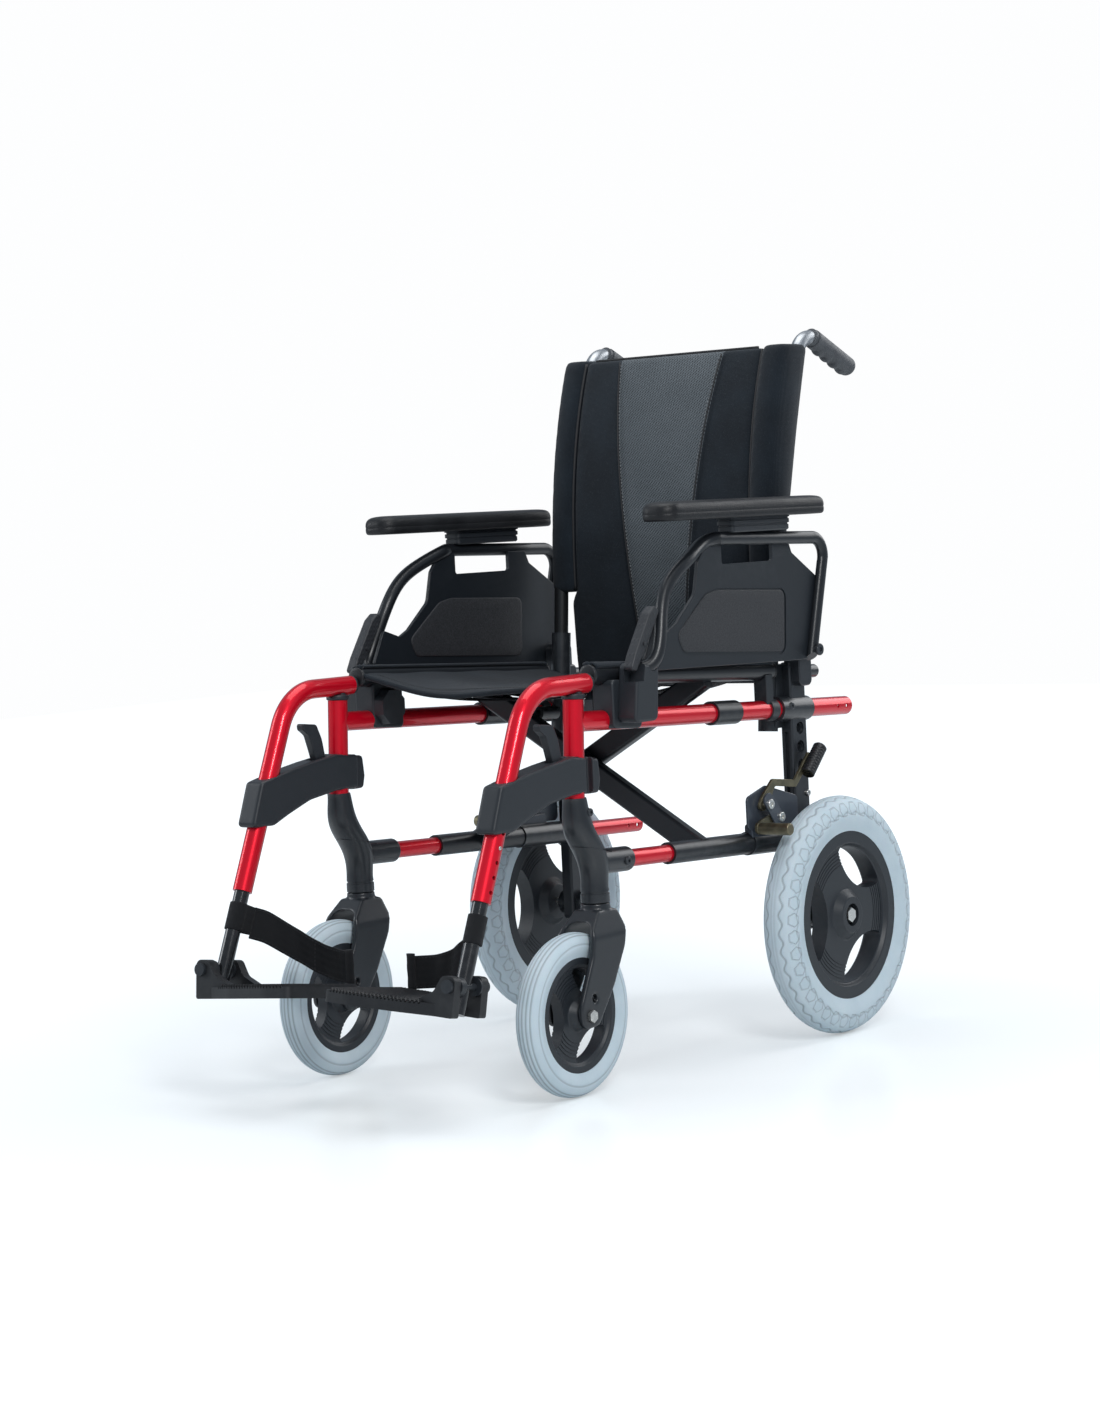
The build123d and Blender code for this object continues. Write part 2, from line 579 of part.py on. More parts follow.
EAR_FRONT = (22.0, 34.0)
EAR_BACK = (-28.0, -16.0)
with BuildPart() as footplate_pin:
    add(rod(hinge + toe_dir * (EAR_BACK[0] - 1), hinge + toe_dir * (EAR_FRONT[1] + 1), PIN_R))
    # friction discs between the tube and the ears, and the heads outside them
    add(rod(hinge + toe_dir * 13, hinge + toe_dir * (EAR_FRONT[0] - 0.4), DISC_R))
    add(rod(hinge + toe_dir * (EAR_BACK[1] + 0.4), hinge - toe_dir * 13, DISC_R))
    add(rod(hinge + toe_dir * (EAR_FRONT[1] + 0.3), hinge + toe_dir * (EAR_FRONT[1] + 4.3), 8))
    add(rod(hinge + toe_dir * (EAR_BACK[0] - 4.3), hinge + toe_dir * (EAR_BACK[0] - 0.3), 8))
save_pair(footplate_pin, "footplate_pin")


def plate_plane(above):
    """Footplate plane through the hinge: local x inboard, local y towards the toes."""
    return Plane(origin=hinge + plate_up * above, x_dir=inboard_dir, z_dir=plate_up)


PLATE_LOW = -36.0
PLATE_TOP = -22.0
TOE_OUT = 34.0
HEEL_OUT = -28.0
PLATE_TIP = 167.0
plate_outline = [(17, TOE_OUT), (60, 50), (130, 62), (PLATE_TIP, 60), (PLATE_TIP, -78), (120, -80), (60, -55),
                 (17, HEEL_OUT)]
with BuildPart() as footplate:
    with BuildSketch(plate_plane(PLATE_LOW)):
        with BuildLine():
            FilletPolyline(*plate_outline, radius=(0, 60, 60, 8, 16, 40, 60, 0), close=True)
        make_face()
    extrude(amount=PLATE_TOP - PLATE_LOW)
    # pocket underneath, leaving a rim and cross ribs
    with BuildSketch(plate_plane(PLATE_LOW)):
        with BuildLine():
            FilletPolyline(*[(26, 27), (62, 43), (130, 55), (160, 53), (160, -71), (118, -73), (62, -49), (26, -21)],
                           radius=8, close=True)
        make_face()
    extrude(amount=10, mode=Mode.SUBTRACT)
    for index in range(6):
        reach = 44 + 20 * index
        with BuildSketch(plate_plane(PLATE_LOW + 2)):
            with Locations((reach, -8)):
                Rectangle(2.5, 88 + 5 * index)
        extrude(amount=9)
    # anti-slip grooves across the tread
    with BuildSketch(plate_plane(PLATE_TOP)):
        with Locations((0, -8)):
            with GridLocations(5.2, 1, 24, 1):
                with Locations((96, 0)):
                    Rectangle(2.4, 170)
    extrude(amount=-2.0, mode=Mode.SUBTRACT)
    # two ears that carry the hinge pin on either side of the tube
    for near, far in (EAR_FRONT, EAR_BACK):
        ear_plane = Plane(origin=hinge + toe_dir * near, x_dir=-inboard_dir, z_dir=toe_dir)
        with BuildSketch(ear_plane):
            with BuildLine():
                FilletPolyline((-46, PLATE_LOW), (9, PLATE_LOW), (9, 12), (-11, 12), (-22, -8), (-46, PLATE_TOP + 2),
                               radius=(0, 3, 8, 9, 12, 0), close=True)
            make_face()
        extrude(amount=far - near)
    add(rod(hinge - toe_dir * 60, hinge + toe_dir * 60, PIN_R + RUNNING), mode=Mode.SUBTRACT)
save_pair(footplate, "footplate")

STRAP_PATH = [(176, -664), (150, -634), (112, -617), (70, -616), (42, -628)]
with BuildPart() as heel_strap:
    with BuildSketch(top_plane(158)):
        with BuildLine() as strap_line:
            Spline(*[(x, back) for x, back in STRAP_PATH])
        trace(line_width=2.4)
    extrude(amount=38)
save_pair(heel_strap, "heel_strap")


# ---------------------------------------------------------------- armrest
pivot_hole = rod(at(190, *ARM_PIVOT), at(260, *ARM_PIVOT), 5 + RUNNING)
with BuildPart() as armrest_tube:
    add(arm_core)
    add(pivot_hole, mode=Mode.SUBTRACT)
save_pair(armrest_tube, "armrest_tube")

PAD_HALF = 26.0
with BuildPart() as arm_pad:
    add(plate(side_plane(ARM_X + 2 - PAD_HALF), [(-353, 690), (11, 690), (11, 713), (-353, 713)], 9, 2 * PAD_HALF, 8))
    # block that joins the pad to the tube
    add(plate(side_plane(ARM_X - 12), [(-195, 680), (-64, 680), (-64, 694), (-195, 694)], 3, 28, 1.5))
    add(plate(side_plane(ARM_X - 9), [(-178, 660), (-80, 660), (-80, 684), (-178, 684)], 3, 18, 1.5))
    add(arm_core, mode=Mode.SUBTRACT)
save_pair(arm_pad, "arm_pad")

PANEL_X = 217.5
PANEL_THICK = 5.0
panel_outline = [(-377, 519), (-354, 563), (-322, 553), (-305, 561), (-262, 596), (-252, 636), (-232, 660),
                 (-46, 657), (-38, 640), (26, 602), (10, 520), (2, 498), (-40, 498), (-360, 506)]
with BuildPart() as side_panel:
    add(plate(side_plane(PANEL_X), panel_outline, (6, 5, 5, 8, 16, 5, 4, 4, 5, 16, 10, 6, 3, 5), PANEL_THICK, 1.2))
    # hand opening below the armrest tube
    add(plate(side_plane(PANEL_X - 5), [(-200, 631), (-84, 631), (-84, 672), (-200, 672)], 4, 20), mode=Mode.SUBTRACT)
    # recessed field on the outboard face
    recess = [(-306, 546), (-292, 521), (-62, 508), (-56, 594), (-213, 601), (-240, 597)]
    add(plate(side_plane(PANEL_X + PANEL_THICK - 1.2), recess, (12, 14, 14, 14, 20, 20), 5), mode=Mode.SUBTRACT)
    add(arm_core, mode=Mode.SUBTRACT)
    add(pivot_hole, mode=Mode.SUBTRACT)
save_pair(side_panel, "side_panel")

ARM_LEVER_PIVOT = (-389.0, 541.0)
with BuildPart() as armrest_lever:
    lever = [(-417, 512), (-406, 508), (-398, 520), (-374, 549), (-354, 580), (-362, 587), (-375, 578), (-407, 531)]
    add(plate(side_plane(ARM_X - 7.5), lever, (4, 4, 15, 15, 3, 4, 10, 15), 15, 2.5))
    # pivot pin across the lever
    add(rod(at(ARM_X - 9, *ARM_LEVER_PIVOT), at(ARM_X + 9, *ARM_LEVER_PIVOT), 2.5))
    add(arm_solid(ARM_R + 1.5), mode=Mode.SUBTRACT)
save_pair(armrest_lever, "armrest_lever")


# ---------------------------------------------------------------- brake
with BuildPart() as brake_bracket:
    # inner cheek standing on the lower clamp, outer cheek with the two bolts
    add(plate(side_plane(200.5), [(-140, 283), (-22.5, 276), (-22.5, 318), (-96, 338), (-140, 326)], 8, 3.5, 1))
    add(plate(side_plane(192), [(-132, 268), (-60, 268), (-60, 290), (-132, 290)], 4, 12, 1))
    add(plate(side_plane(BRAKE_OUTER_X - 3), [(-126, 322), (-110, 332), (-96, 318), (-74, 292), (-80, 281), (-97, 285)],
              8, 3, 0.8))
    add(rod(on_frame(FRAME_X, 60, 0), on_frame(FRAME_X, 200, 0), 15.5), mode=Mode.SUBTRACT)
    add(frame_bolts.part, mode=Mode.SUBTRACT)
save_pair(brake_bracket, "brake_bracket")

LEVER_X = 206.4
SHOE_X = 211.2
BAR_THICK = 4.4
GRIP_X = 217.0
with BuildPart() as brake_lever:
    bar = [(-124, 312), (-112, 305), (-100, 313), (-84, 336), (-34, 330), (6, 366), (0, 374), (-36, 340), (-88, 346),
           (-112, 327)]
    add(plate(side_plane(LEVER_X), bar, (6, 6, 10, 6, 5, 2, 2, 5, 8, 6), BAR_THICK, 0.8))
    # soft grip on the lever's end
    grip_low = at(GRIP_X, -16, 346)
    grip_high = at(GRIP_X, 18, 379)
    add(rod(grip_low, grip_high, 8.5))
    fillet(brake_lever.edges().sort_by(Axis(grip_low, grip_high - grip_low))[-1], radius=6)
    add(rod(at(190, *BRAKE_PIVOT), at(230, *BRAKE_PIVOT), 3.5 + RUNNING), mode=Mode.SUBTRACT)
save_pair(brake_lever, "brake_lever")

SHOE_BAR = (-128.0, 285.0)
with BuildPart() as brake_shoe:
    arm = [(-82, 288), (-78, 297), (-86, 304), (-124, 296), (-137, 291), (-136, 279), (-122, 278)]
    add(plate(side_plane(SHOE_X), arm, (4, 4, 5, 5, 5, 5, 5), BAR_THICK, 0.8))
    add(rod(at(SHOE_X + 1, *SHOE_BAR), at(262, *SHOE_BAR), 8))
    fillet(brake_shoe.edges().sort_by(Axis.X)[-1], radius=2)
    add(rod(at(190, *SHOE_PIVOT), at(230, *SHOE_PIVOT), 3.5 + RUNNING), mode=Mode.SUBTRACT)
save_pair(brake_shoe, "brake_shoe")


# ---------------------------------------------------------------- scissor: cross tubes with sleeves and rails
CROSS_WIDE = 30.0
CROSS_THICK = 18.0
CROSS_WALL = 2.0
SLEEVE_R = 14.0
PIVOT_R = 5.0


def cross_tube(foot_side, offset):
    """Cross tube whose sleeve turns on one lower tube and whose rail lies on the other side."""
    foot = on_frame(foot_side * FRAME_X, offset, 0)
    centre = on_frame(0, offset, CROSS_RISE)
    along = (centre - foot).normalized()
    rail_side = -foot_side
    tip = foot + along * ((FRAME_X + RAIL_X) / abs(along.X))
    rail = rod(at(rail_side * RAIL_X, *RAIL_FRONT), at(rail_side * RAIL_X, *RAIL_REAR), RAIL_R)
    reach = (tip - foot).length
    lower_tube = rod(on_frame(foot_side * FRAME_X, -130, 0), on_frame(foot_side * FRAME_X, 150, 0), LOWER_R + RUNNING)
    with BuildPart() as made:
        with BuildSketch(Plane(origin=foot, x_dir=ALONG, z_dir=along)):
            RectangleRounded(CROSS_THICK, CROSS_WIDE, 4)
        extrude(amount=reach)
        add(rod(on_frame(foot_side * FRAME_X, -84, 0), on_frame(foot_side * FRAME_X, 92.5, 0), SLEEVE_R))
        add(rail)
        fillet(made.edges().filter_by(GeomType.CIRCLE).filter_by(lambda e: abs(e.radius - RAIL_R) < 0.01), radius=3)
        with BuildSketch(Plane(origin=foot + along * 16, x_dir=ALONG, z_dir=along)):
            RectangleRounded(CROSS_THICK - 2 * CROSS_WALL, CROSS_WIDE - 2 * CROSS_WALL, 2)
        extrude(amount=reach - 34, mode=Mode.SUBTRACT)
        add(lower_tube, mode=Mode.SUBTRACT)
    return made.part


pivot_low = on_frame(0, -24, CROSS_RISE)
pivot_high = on_frame(0, 24, CROSS_RISE)
with BuildPart() as cross_tube_a:
    add(cross_tube(-1, CROSS_OFFSET))
    # welded pivot stud with a formed head in front of the other cross tube
    add(rod(pivot_low, pivot_high, PIVOT_R))
    add(rod(pivot_low - ALONG * 5, pivot_low + ALONG * 4, 10))
    add(rod(on_frame(0, CROSS_OFFSET + 8, CROSS_RISE), pivot_high, 9))
save(cross_tube_a, "cross_tube_a")

with BuildPart() as cross_tube_b:
    add(cross_tube(1, -CROSS_OFFSET))
    add(rod(on_frame(0, -60, CROSS_RISE), on_frame(0, 60, CROSS_RISE), PIVOT_R + RUNNING), mode=Mode.SUBTRACT)
save(cross_tube_b, "cross_tube_b")


# ---------------------------------------------------------------- upholstery (plain soft solids)
SLING_HALF = 172.0
SLING_SAG = 18.0
sling_start = at(0, *RAIL_FRONT) + Vector(0, 6, 0)
sling_dir = (at(0, *RAIL_REAR) - at(0, *RAIL_FRONT)).normalized()
with BuildPart() as seat_sling:
    with BuildSketch(Plane(origin=sling_start, x_dir=(1, 0, 0), z_dir=sling_dir)) as section:
        with BuildLine():
            low = ThreePointArc((-SLING_HALF, -6), (0, SLING_SAG - 6), (SLING_HALF, -6))
            high = ThreePointArc((-SLING_HALF, -10), (0, SLING_SAG - 10), (SLING_HALF, -10))
            Line(low @ 0, high @ 0)
            Line(low @ 1, high @ 1)
        make_face()
    extrude(amount=380)
save(seat_sling, "seat_sling")

BACK_HALF = 160.0
back_outline = [(-30, 480), (-34, 571), (-34, 680), (-11, 800), (24, 913), (46, 909), (14, 800), (-8, 690),
                (-8, 571), (-4, 480)]
with BuildPart() as back_upholstery:
    add(plate(side_plane(-BACK_HALF), back_outline, (4, 120, 120, 120, 6, 6, 120, 120, 120, 4), 2 * BACK_HALF, 3))
save(back_upholstery, "back_upholstery")
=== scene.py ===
import math

import bmesh
import bpy
import numpy as np
from mathutils import Matrix, Vector


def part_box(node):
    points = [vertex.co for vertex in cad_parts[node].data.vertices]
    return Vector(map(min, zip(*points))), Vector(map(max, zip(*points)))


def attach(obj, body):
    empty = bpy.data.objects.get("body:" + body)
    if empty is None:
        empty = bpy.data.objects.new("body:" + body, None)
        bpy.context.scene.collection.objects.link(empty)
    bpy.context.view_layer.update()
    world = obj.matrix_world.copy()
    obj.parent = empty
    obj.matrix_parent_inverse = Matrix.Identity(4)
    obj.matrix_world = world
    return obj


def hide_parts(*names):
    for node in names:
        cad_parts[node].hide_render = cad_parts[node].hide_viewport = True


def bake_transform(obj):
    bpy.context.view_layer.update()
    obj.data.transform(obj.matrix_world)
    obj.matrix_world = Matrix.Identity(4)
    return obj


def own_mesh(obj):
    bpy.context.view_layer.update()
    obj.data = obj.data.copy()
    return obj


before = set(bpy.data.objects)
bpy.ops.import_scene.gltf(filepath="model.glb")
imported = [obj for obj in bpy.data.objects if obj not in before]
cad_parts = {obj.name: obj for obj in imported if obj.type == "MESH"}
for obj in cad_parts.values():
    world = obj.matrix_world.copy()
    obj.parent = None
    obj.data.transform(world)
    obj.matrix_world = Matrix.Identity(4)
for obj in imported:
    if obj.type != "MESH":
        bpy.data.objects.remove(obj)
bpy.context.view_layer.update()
scene = bpy.context.scene

# Sizes in metres. +X is the occupant's left, -Y the front, Z = 0 the floor.
SIDES = (("left", 1), ("right", -1))


def middle(name):
    """The centre of a CAD node's box."""
    low, high = (np.array(corner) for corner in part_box(name))
    return (low + high) / 2


AXLE = middle("left_rear_wheel")
AXLE_Y = AXLE[1]


def at(x, back, up):
    """A point from millimetres across, behind the rear axle and above the floor."""
    return np.array([x / 1000, AXLE_Y + back / 1000, up / 1000])


# ---- shader helpers
def feed(socket, value):
    """Links a socket to another one or gives it a fixed value."""
    if isinstance(value, bpy.types.NodeSocket):
        socket.id_data.links.new(value, socket)
    elif socket.type == "RGBA":
        socket.default_value = (*value, 1.0)
    else:
        socket.default_value = value


def node(near, kind, inputs=None, **props):
    """A new node in the tree that near is, or to which it belongs as a node or socket."""
    made = near.id_data.nodes.new("ShaderNode" + kind)
    for key, value in props.items():
        setattr(made, key, value)
    for key, value in (inputs or {}).items():
        feed(made.inputs[key], value)
    return made


def stored(near, name, output):
    """What the mesh keeps under a name on each point."""
    return node(near, "Attribute", attribute_name=name).outputs[output]


def new_look(name, kept=None):
    """A material and the spot on the piece: in the shared frame, or as kept on its points."""
    mat = bpy.data.materials.new(name)
    mat.use_nodes = True
    tree = mat.node_tree
    return mat, stored(tree, kept, "Vector") if kept else node(tree, "TexCoord").outputs["Object"]


def calc(operation, a, b=0.0, c=0.0):
    return node(a, "Math", {0: a, 1: b, 2: c}, operation=operation).outputs[0]


def times(a, b):
    return calc("MULTIPLY", a, b)


def plus(a, b):
    return calc("ADD", a, b)


def minus(a, b):
    return calc("SUBTRACT", a, b)


def split(spot):
    return node(spot, "SeparateXYZ", {0: spot}).outputs


def noise(spot, scale, detail=3.0, rough=0.55):
    inputs = {"Vector": spot, "Scale": scale, "Detail": detail, "Roughness": rough}
    return node(spot, "TexNoise", inputs).outputs[0]


def cells(spot, scale, randomness=1.0, feature="F1"):
    """Distance to the nearest of a field of dots."""
    return node(spot, "TexVoronoi", {"Vector": spot, "Scale": scale, "Randomness": randomness},
                feature=feature).outputs["Distance"]


def wave(spot, direction, scale, distortion=0.0):
    inputs = {"Vector": spot, "Scale": scale, "Distortion": distortion, "Detail": 1.0}
    return node(spot, "TexWave", inputs, bands_direction=direction).outputs["Fac"]


def turned(spot, angles, scale=(1, 1, 1)):
    return node(spot, "Mapping", {"Vector": spot, "Rotation": angles, "Scale": scale}).outputs[0]


def ramp(value, low, high, to_low=0.0, to_high=1.0):
    return node(value, "MapRange", {0: value, 1: low, 2: high, 3: to_low, 4: to_high}).outputs[0]


def mix(share, first, second):
    return node(share, "Mix", {0: share, 6: first, 7: second}, data_type="RGBA").outputs[2]


def finish(mat, relief, **values):
    """Feeds the shader; relief, if any, is a height with its strength and distance."""
    shader = mat.node_tree.nodes["Principled BSDF"]
    for key, value in values.items():
        feed(shader.inputs[key.replace("_", " ")], value)
    if relief:
        made = node(shader, "Bump", dict(zip(("Height", "Strength", "Distance"), relief)))
        feed(shader.inputs["Normal"], made.outputs[0])
    return mat


def worn_edges(spot):
    """1 on sharp outer edges, broken up by noise, from the mesh's pointiness."""
    edge = ramp(node(spot, "NewGeometry").outputs["Pointiness"], 0.56, 0.66)
    return times(edge, ramp(noise(spot, 90, 4), 0.4, 0.62))


# ---- hard materials
def make_red_paint():
    """Candy red over a metallic base, clear coated, with faint orange peel."""
    mat, spot = new_look("frame_paint")
    facing = node(spot, "LayerWeight", {"Blend": 0.35}).outputs["Facing"]
    deep = mix(facing, (0.86, 0.002, 0.022), (0.46, 0.0, 0.008))
    flake = ramp(cells(spot, 2600), 0.1, 0.7)
    cloud = ramp(noise(spot, 14, 2), 0.3, 0.7, 0.0, 0.22)
    return finish(mat, (noise(spot, 420, 2), 0.05, 0.0004), Base_Color=mix(cloud, deep, (0.70, 0.002, 0.015)),
                  Metallic=0.4, Specular_IOR_Level=0.2, Roughness=ramp(flake, 0, 1, 0.26, 0.36),
                  Coat_Weight=0.65, Coat_Roughness=0.05)


def make_coat(name, colour, rough, grain_scale, grain, wear=(0.16, 0.165, 0.17), cloud=0.35, coat=0.0):
    """Powder coat or moulded plastic: fine grain, cloudy sheen and lightly rubbed edges."""
    mat, spot = new_look(name)
    soft = ramp(noise(spot, 9, 3), 0.3, 0.75)
    tone = mix(times(soft, cloud), colour, [c * 1.25 + 0.001 for c in colour])
    tone = mix(times(worn_edges(spot), 0.10), tone, wear)
    return finish(mat, (noise(spot, grain_scale, 3, 0.6), grain, 0.0005), Base_Color=tone,
                  Roughness=ramp(soft, 0, 1, rough - 0.02, rough + 0.03), Coat_Weight=coat,
                  Coat_Roughness=0.18)


def make_zinc():
    mat, spot = new_look("zinc")
    cloud = noise(spot, 160, 4)
    tone = mix(ramp(cloud, 0.3, 0.7), (0.78, 0.77, 0.72), (0.55, 0.55, 0.53))
    return finish(mat, (noise(spot, 1500, 2), 0.12, 0.0003), Base_Color=tone, Metallic=0.95,
                  Roughness=ramp(cloud, 0.3, 0.7, 0.22, 0.4))


def make_screws():
    """Black screws along the frame; bright zinc ones at the rear axles and brakes."""
    mat, spot = new_look("screws")
    _, y, z = split(spot)
    bright = times(ramp(y, AXLE_Y - 0.135, AXLE_Y - 0.130), ramp(z, 0.335, 0.340, 1.0, 0.0))
    cloud = ramp(noise(spot, 160, 4), 0.3, 0.7)
    return finish(mat, (noise(spot, 1500, 2), 0.12, 0.0003),
                  Base_Color=mix(bright, (0.030, 0.034, 0.040), (0.74, 0.74, 0.71)),
                  Metallic=times(bright, 0.95), Roughness=ramp(cloud, 0, 1, 0.24, 0.38))


def make_brake_steel():
    mat, spot = new_look("brake_steel")
    cloud = noise(spot, 60, 5)
    tone = mix(ramp(cloud, 0.32, 0.68), (0.15, 0.135, 0.09), (0.26, 0.23, 0.15))
    return finish(mat, (noise(spot, 800, 2), 0.15, 0.0004), Base_Color=tone, Metallic=0.85,
                  Roughness=ramp(cloud, 0.3, 0.7, 0.3, 0.48))


def make_back_post():
    """Black coated post whose bare crest above the upholstery is satin silver."""
    mat, spot = new_look("back_post_finish")
    bare = ramp(split(spot)[2], 0.895, 0.902)
    fine = noise(spot, 900, 2)
    return finish(mat, (fine, 0.08, 0.0004), Base_Color=mix(bare, (0.010, 0.011, 0.012), (0.46, 0.48, 0.50)),
                  Metallic=times(bare, 0.9), Roughness=ramp(fine, 0.3, 0.7, 0.3, 0.4))


def make_grip_rubber():
    """Dark grey moulded grip with a fine diamond knurl on its back."""
    mat, spot = new_look("grip_rubber")
    knurl = times(*(wave(turned(spot, (slant, 0, 0)), "Y", 120) for slant in (0.785, -0.785)))
    tone = mix(ramp(noise(spot, 40, 4), 0.35, 0.65), (0.055, 0.06, 0.068), (0.085, 0.092, 0.10))
    return finish(mat, (knurl, 0.5, 0.0008), Base_Color=tone, Roughness=0.5)


LUGS = 40
LUG_CENTRE_R = 0.1405
LUG_PITCH = 2 * math.pi * 0.148 / LUGS
LUG_R = 0.0082


def lug_lines(spot):
    """1 along the hexagonal lug outlines on a rear tyre's shoulders."""
    _, y, z = split(spot)
    dy, dz = minus(y, float(AXLE_Y)), minus(z, float(AXLE[2]))
    turn = times(calc("ARCTAN2", dy, dz), LUGS / (2 * math.pi))
    radius = calc("SQRT", plus(times(dy, dy), times(dz, dz)))
    across = calc("ABSOLUTE", times(minus(calc("FRACT", turn), 0.5), LUG_PITCH))
    outward = calc("ABSOLUTE", minus(radius, LUG_CENTRE_R))
    slanted = plus(times(across, math.cos(math.pi / 6)), times(outward, 0.5))
    ring = calc("ABSOLUTE", minus(calc("MAXIMUM", slanted, outward), LUG_R))
    return ramp(ring, 0.0004, 0.0011, 1.0, 0.0)


def make_tyre(name, lugs=False):
    """Light blue-grey solid polyurethane with painted shade in the grooves, darker where they are deeper."""
    mat, spot = new_look(name)
    cloud = noise(spot, 26, 5)
    tone = mix(ramp(cloud, 0.3, 0.7), (0.56, 0.675, 0.735), (0.64, 0.745, 0.80))
    tone = mix(ramp(noise(spot, 380, 3), 0.62, 0.74, 0, 0.35), tone, (0.46, 0.55, 0.61))
    # painted shade: the tread grooves darken in step with their depth
    tone = mix(times(stored(spot, "groove", "Fac"), 0.6), tone, (0.17, 0.185, 0.20))
    grain = noise(spot, 700, 3)
    relief = (grain, 0.18, 0.0006)
    if lugs:
        line = lug_lines(spot)
        # painted shade along the recessed lug outlines
        tone = mix(times(line, 0.35), tone, (0.30, 0.32, 0.34))
        relief = (minus(times(grain, 0.12), line), 0.7, 0.0012)
    return finish(mat, relief, Base_Color=tone, Roughness=ramp(cloud, 0.3, 0.7, 0.5, 0.66),
                  Subsurface_Weight=0.04, Subsurface_Scale=0.004)


def make_bumped_lever():
    """Moulded lever with rows of raised grip dots."""
    mat, spot = new_look("lever_plastic")
    tone = mix(ramp(noise(spot, 30, 4), 0.35, 0.65), (0.022, 0.024, 0.028), (0.032, 0.035, 0.040))
    return finish(mat, (ramp(cells(spot, 170, 0.0), 0.15, 0.4, 1.0, 0.0), 0.45, 0.001), Base_Color=tone,
                  Roughness=0.5)


# ---- soft materials
NYLON_TONES = (0.0046, 0.0085, 0.0135), (0.0090, 0.0155, 0.0230)
MESH_LOW = 0.57           # the mesh field's half width grows with height above this
MESH_HALF = 0.043
MESH_SLOPE = 0.1148
MESH_CURVE = 0.0308


def nylon_look(spot):
    """Colour and height of a fine plain weave with lint."""
    weave = times(*(wave(spot, direction, 190, 0.4) for direction in "XZ"))
    lint = ramp(noise(spot, 520, 4, 0.7), 0.56, 0.72, 0, 0.6)
    tone = mix(ramp(noise(spot, 16, 5), 0.38, 0.7), *NYLON_TONES)
    tone = mix(times(lint, 0.7), tone, (0.036, 0.045, 0.056))
    return tone, plus(weave, times(lint, 0.8))


def spacer_look(spot):
    """Colour and height of slanted rows of small dark eyelets between lighter threads."""
    hole = ramp(cells(turned(spot, (0, 0.5, 0), (1, 0, 0.62)), 420, 0.12), 0.22, 0.42)
    thread = mix(ramp(noise(spot, 12, 3), 0.35, 0.7), (0.100, 0.118, 0.130), (0.130, 0.150, 0.165))
    return mix(hole, (0.020, 0.021, 0.024), thread), hole


def make_nylon():
    mat, spot = new_look("black_fabric", kept="rest")
    tone, height = nylon_look(spot)
    return finish(mat, (height, 0.4, 0.0006), Base_Color=tone, Roughness=0.85, Sheen_Weight=0.12,
                  Sheen_Roughness=0.5, Specular_IOR_Level=0.25)


def make_back_fabric():
    """Black nylon with the tapered spacer-mesh field up the middle of its front."""
    mat, spot = new_look("back_cover", kept="rest")
    x, _, z = split(spot)
    rise = minus(z, MESH_LOW)
    slope = calc("MULTIPLY_ADD", rise, MESH_CURVE, MESH_SLOPE)
    half = calc("MULTIPLY_ADD", rise, slope, MESH_HALF)
    inside = ramp(minus(half, calc("ABSOLUTE", x)), -0.0003, 0.0003)
    field = times(inside, ramp(stored(spot, "front", "Fac"), 0.45, 0.55))
    nylon, nylon_height = nylon_look(spot)
    spacer, spacer_height = spacer_look(spot)
    height = node(spot, "Mix", {0: field, 2: nylon_height, 3: spacer_height}).outputs[0]
    return finish(mat, (height, 0.5, 0.0008), Base_Color=mix(field, nylon, spacer), Roughness=0.82,
                  Sheen_Weight=0.1, Sheen_Roughness=0.5, Specular_IOR_Level=0.25)


def make_webbing():
    """Wide woven strap with a chevron weave."""
    mat, spot = new_look("webbing", kept="flat")
    along, across, _ = split(spot)
    slant = plus(along, times(calc("PINGPONG", across, 0.0045), 0.8))
    ribs = ramp(calc("SINE", times(slant, 3900)), -1, 1)
    rows = ramp(calc("SINE", times(across, 7000)), -1, 1)
    weave = plus(ribs, times(rows, 0.3))
    tone = mix(ramp(weave, 0.2, 1.2), (0.004, 0.0042, 0.005), (0.022, 0.023, 0.026))
    return finish(mat, (weave, 0.55, 0.0008), Base_Color=tone, Roughness=0.8, Sheen_Weight=0.08,
                  Sheen_Roughness=0.4, Specular_IOR_Level=0.25)


def make_pad_skin():
    """Grained black polyurethane skin, polished a little where hands rest."""
    mat, spot = new_look("pad_skin")
    polish = ramp(noise(spot, 18, 3), 0.4, 0.7)
    return finish(mat, (plus(cells(spot, 620, feature="SMOOTH_F1"), noise(spot, 250, 4)), 0.35, 0.0007),
                  Base_Color=mix(polish, (0.010, 0.0105, 0.012), (0.018, 0.019, 0.021)),
                  Roughness=ramp(polish, 0, 1, 0.42, 0.55), Specular_IOR_Level=0.35)


def make_inlay():
    """Foam-backed field of the side panel with a coarse pebbled grain."""
    mat, spot = new_look("panel_field")
    pebble = noise(spot, 480, 5, 0.7)
    tone = mix(ramp(pebble, 0.35, 0.65), (0.014, 0.015, 0.018), (0.040, 0.042, 0.047))
    return finish(mat, (pebble, 0.5, 0.0007), Base_Color=tone, Roughness=0.6)


def make_plain(name, colour, rough):
    """Thread, piping and small moulded bits: one tone broken by fine noise."""
    mat, spot = new_look(name)
    cloud = ramp(noise(spot, 500, 3), 0.35, 0.65)
    return finish(mat, (noise(spot, 2400, 2), 0.2, 0.0003),
                  Base_Color=mix(cloud, colour, [c * 1.5 for c in colour]), Roughness=rough)


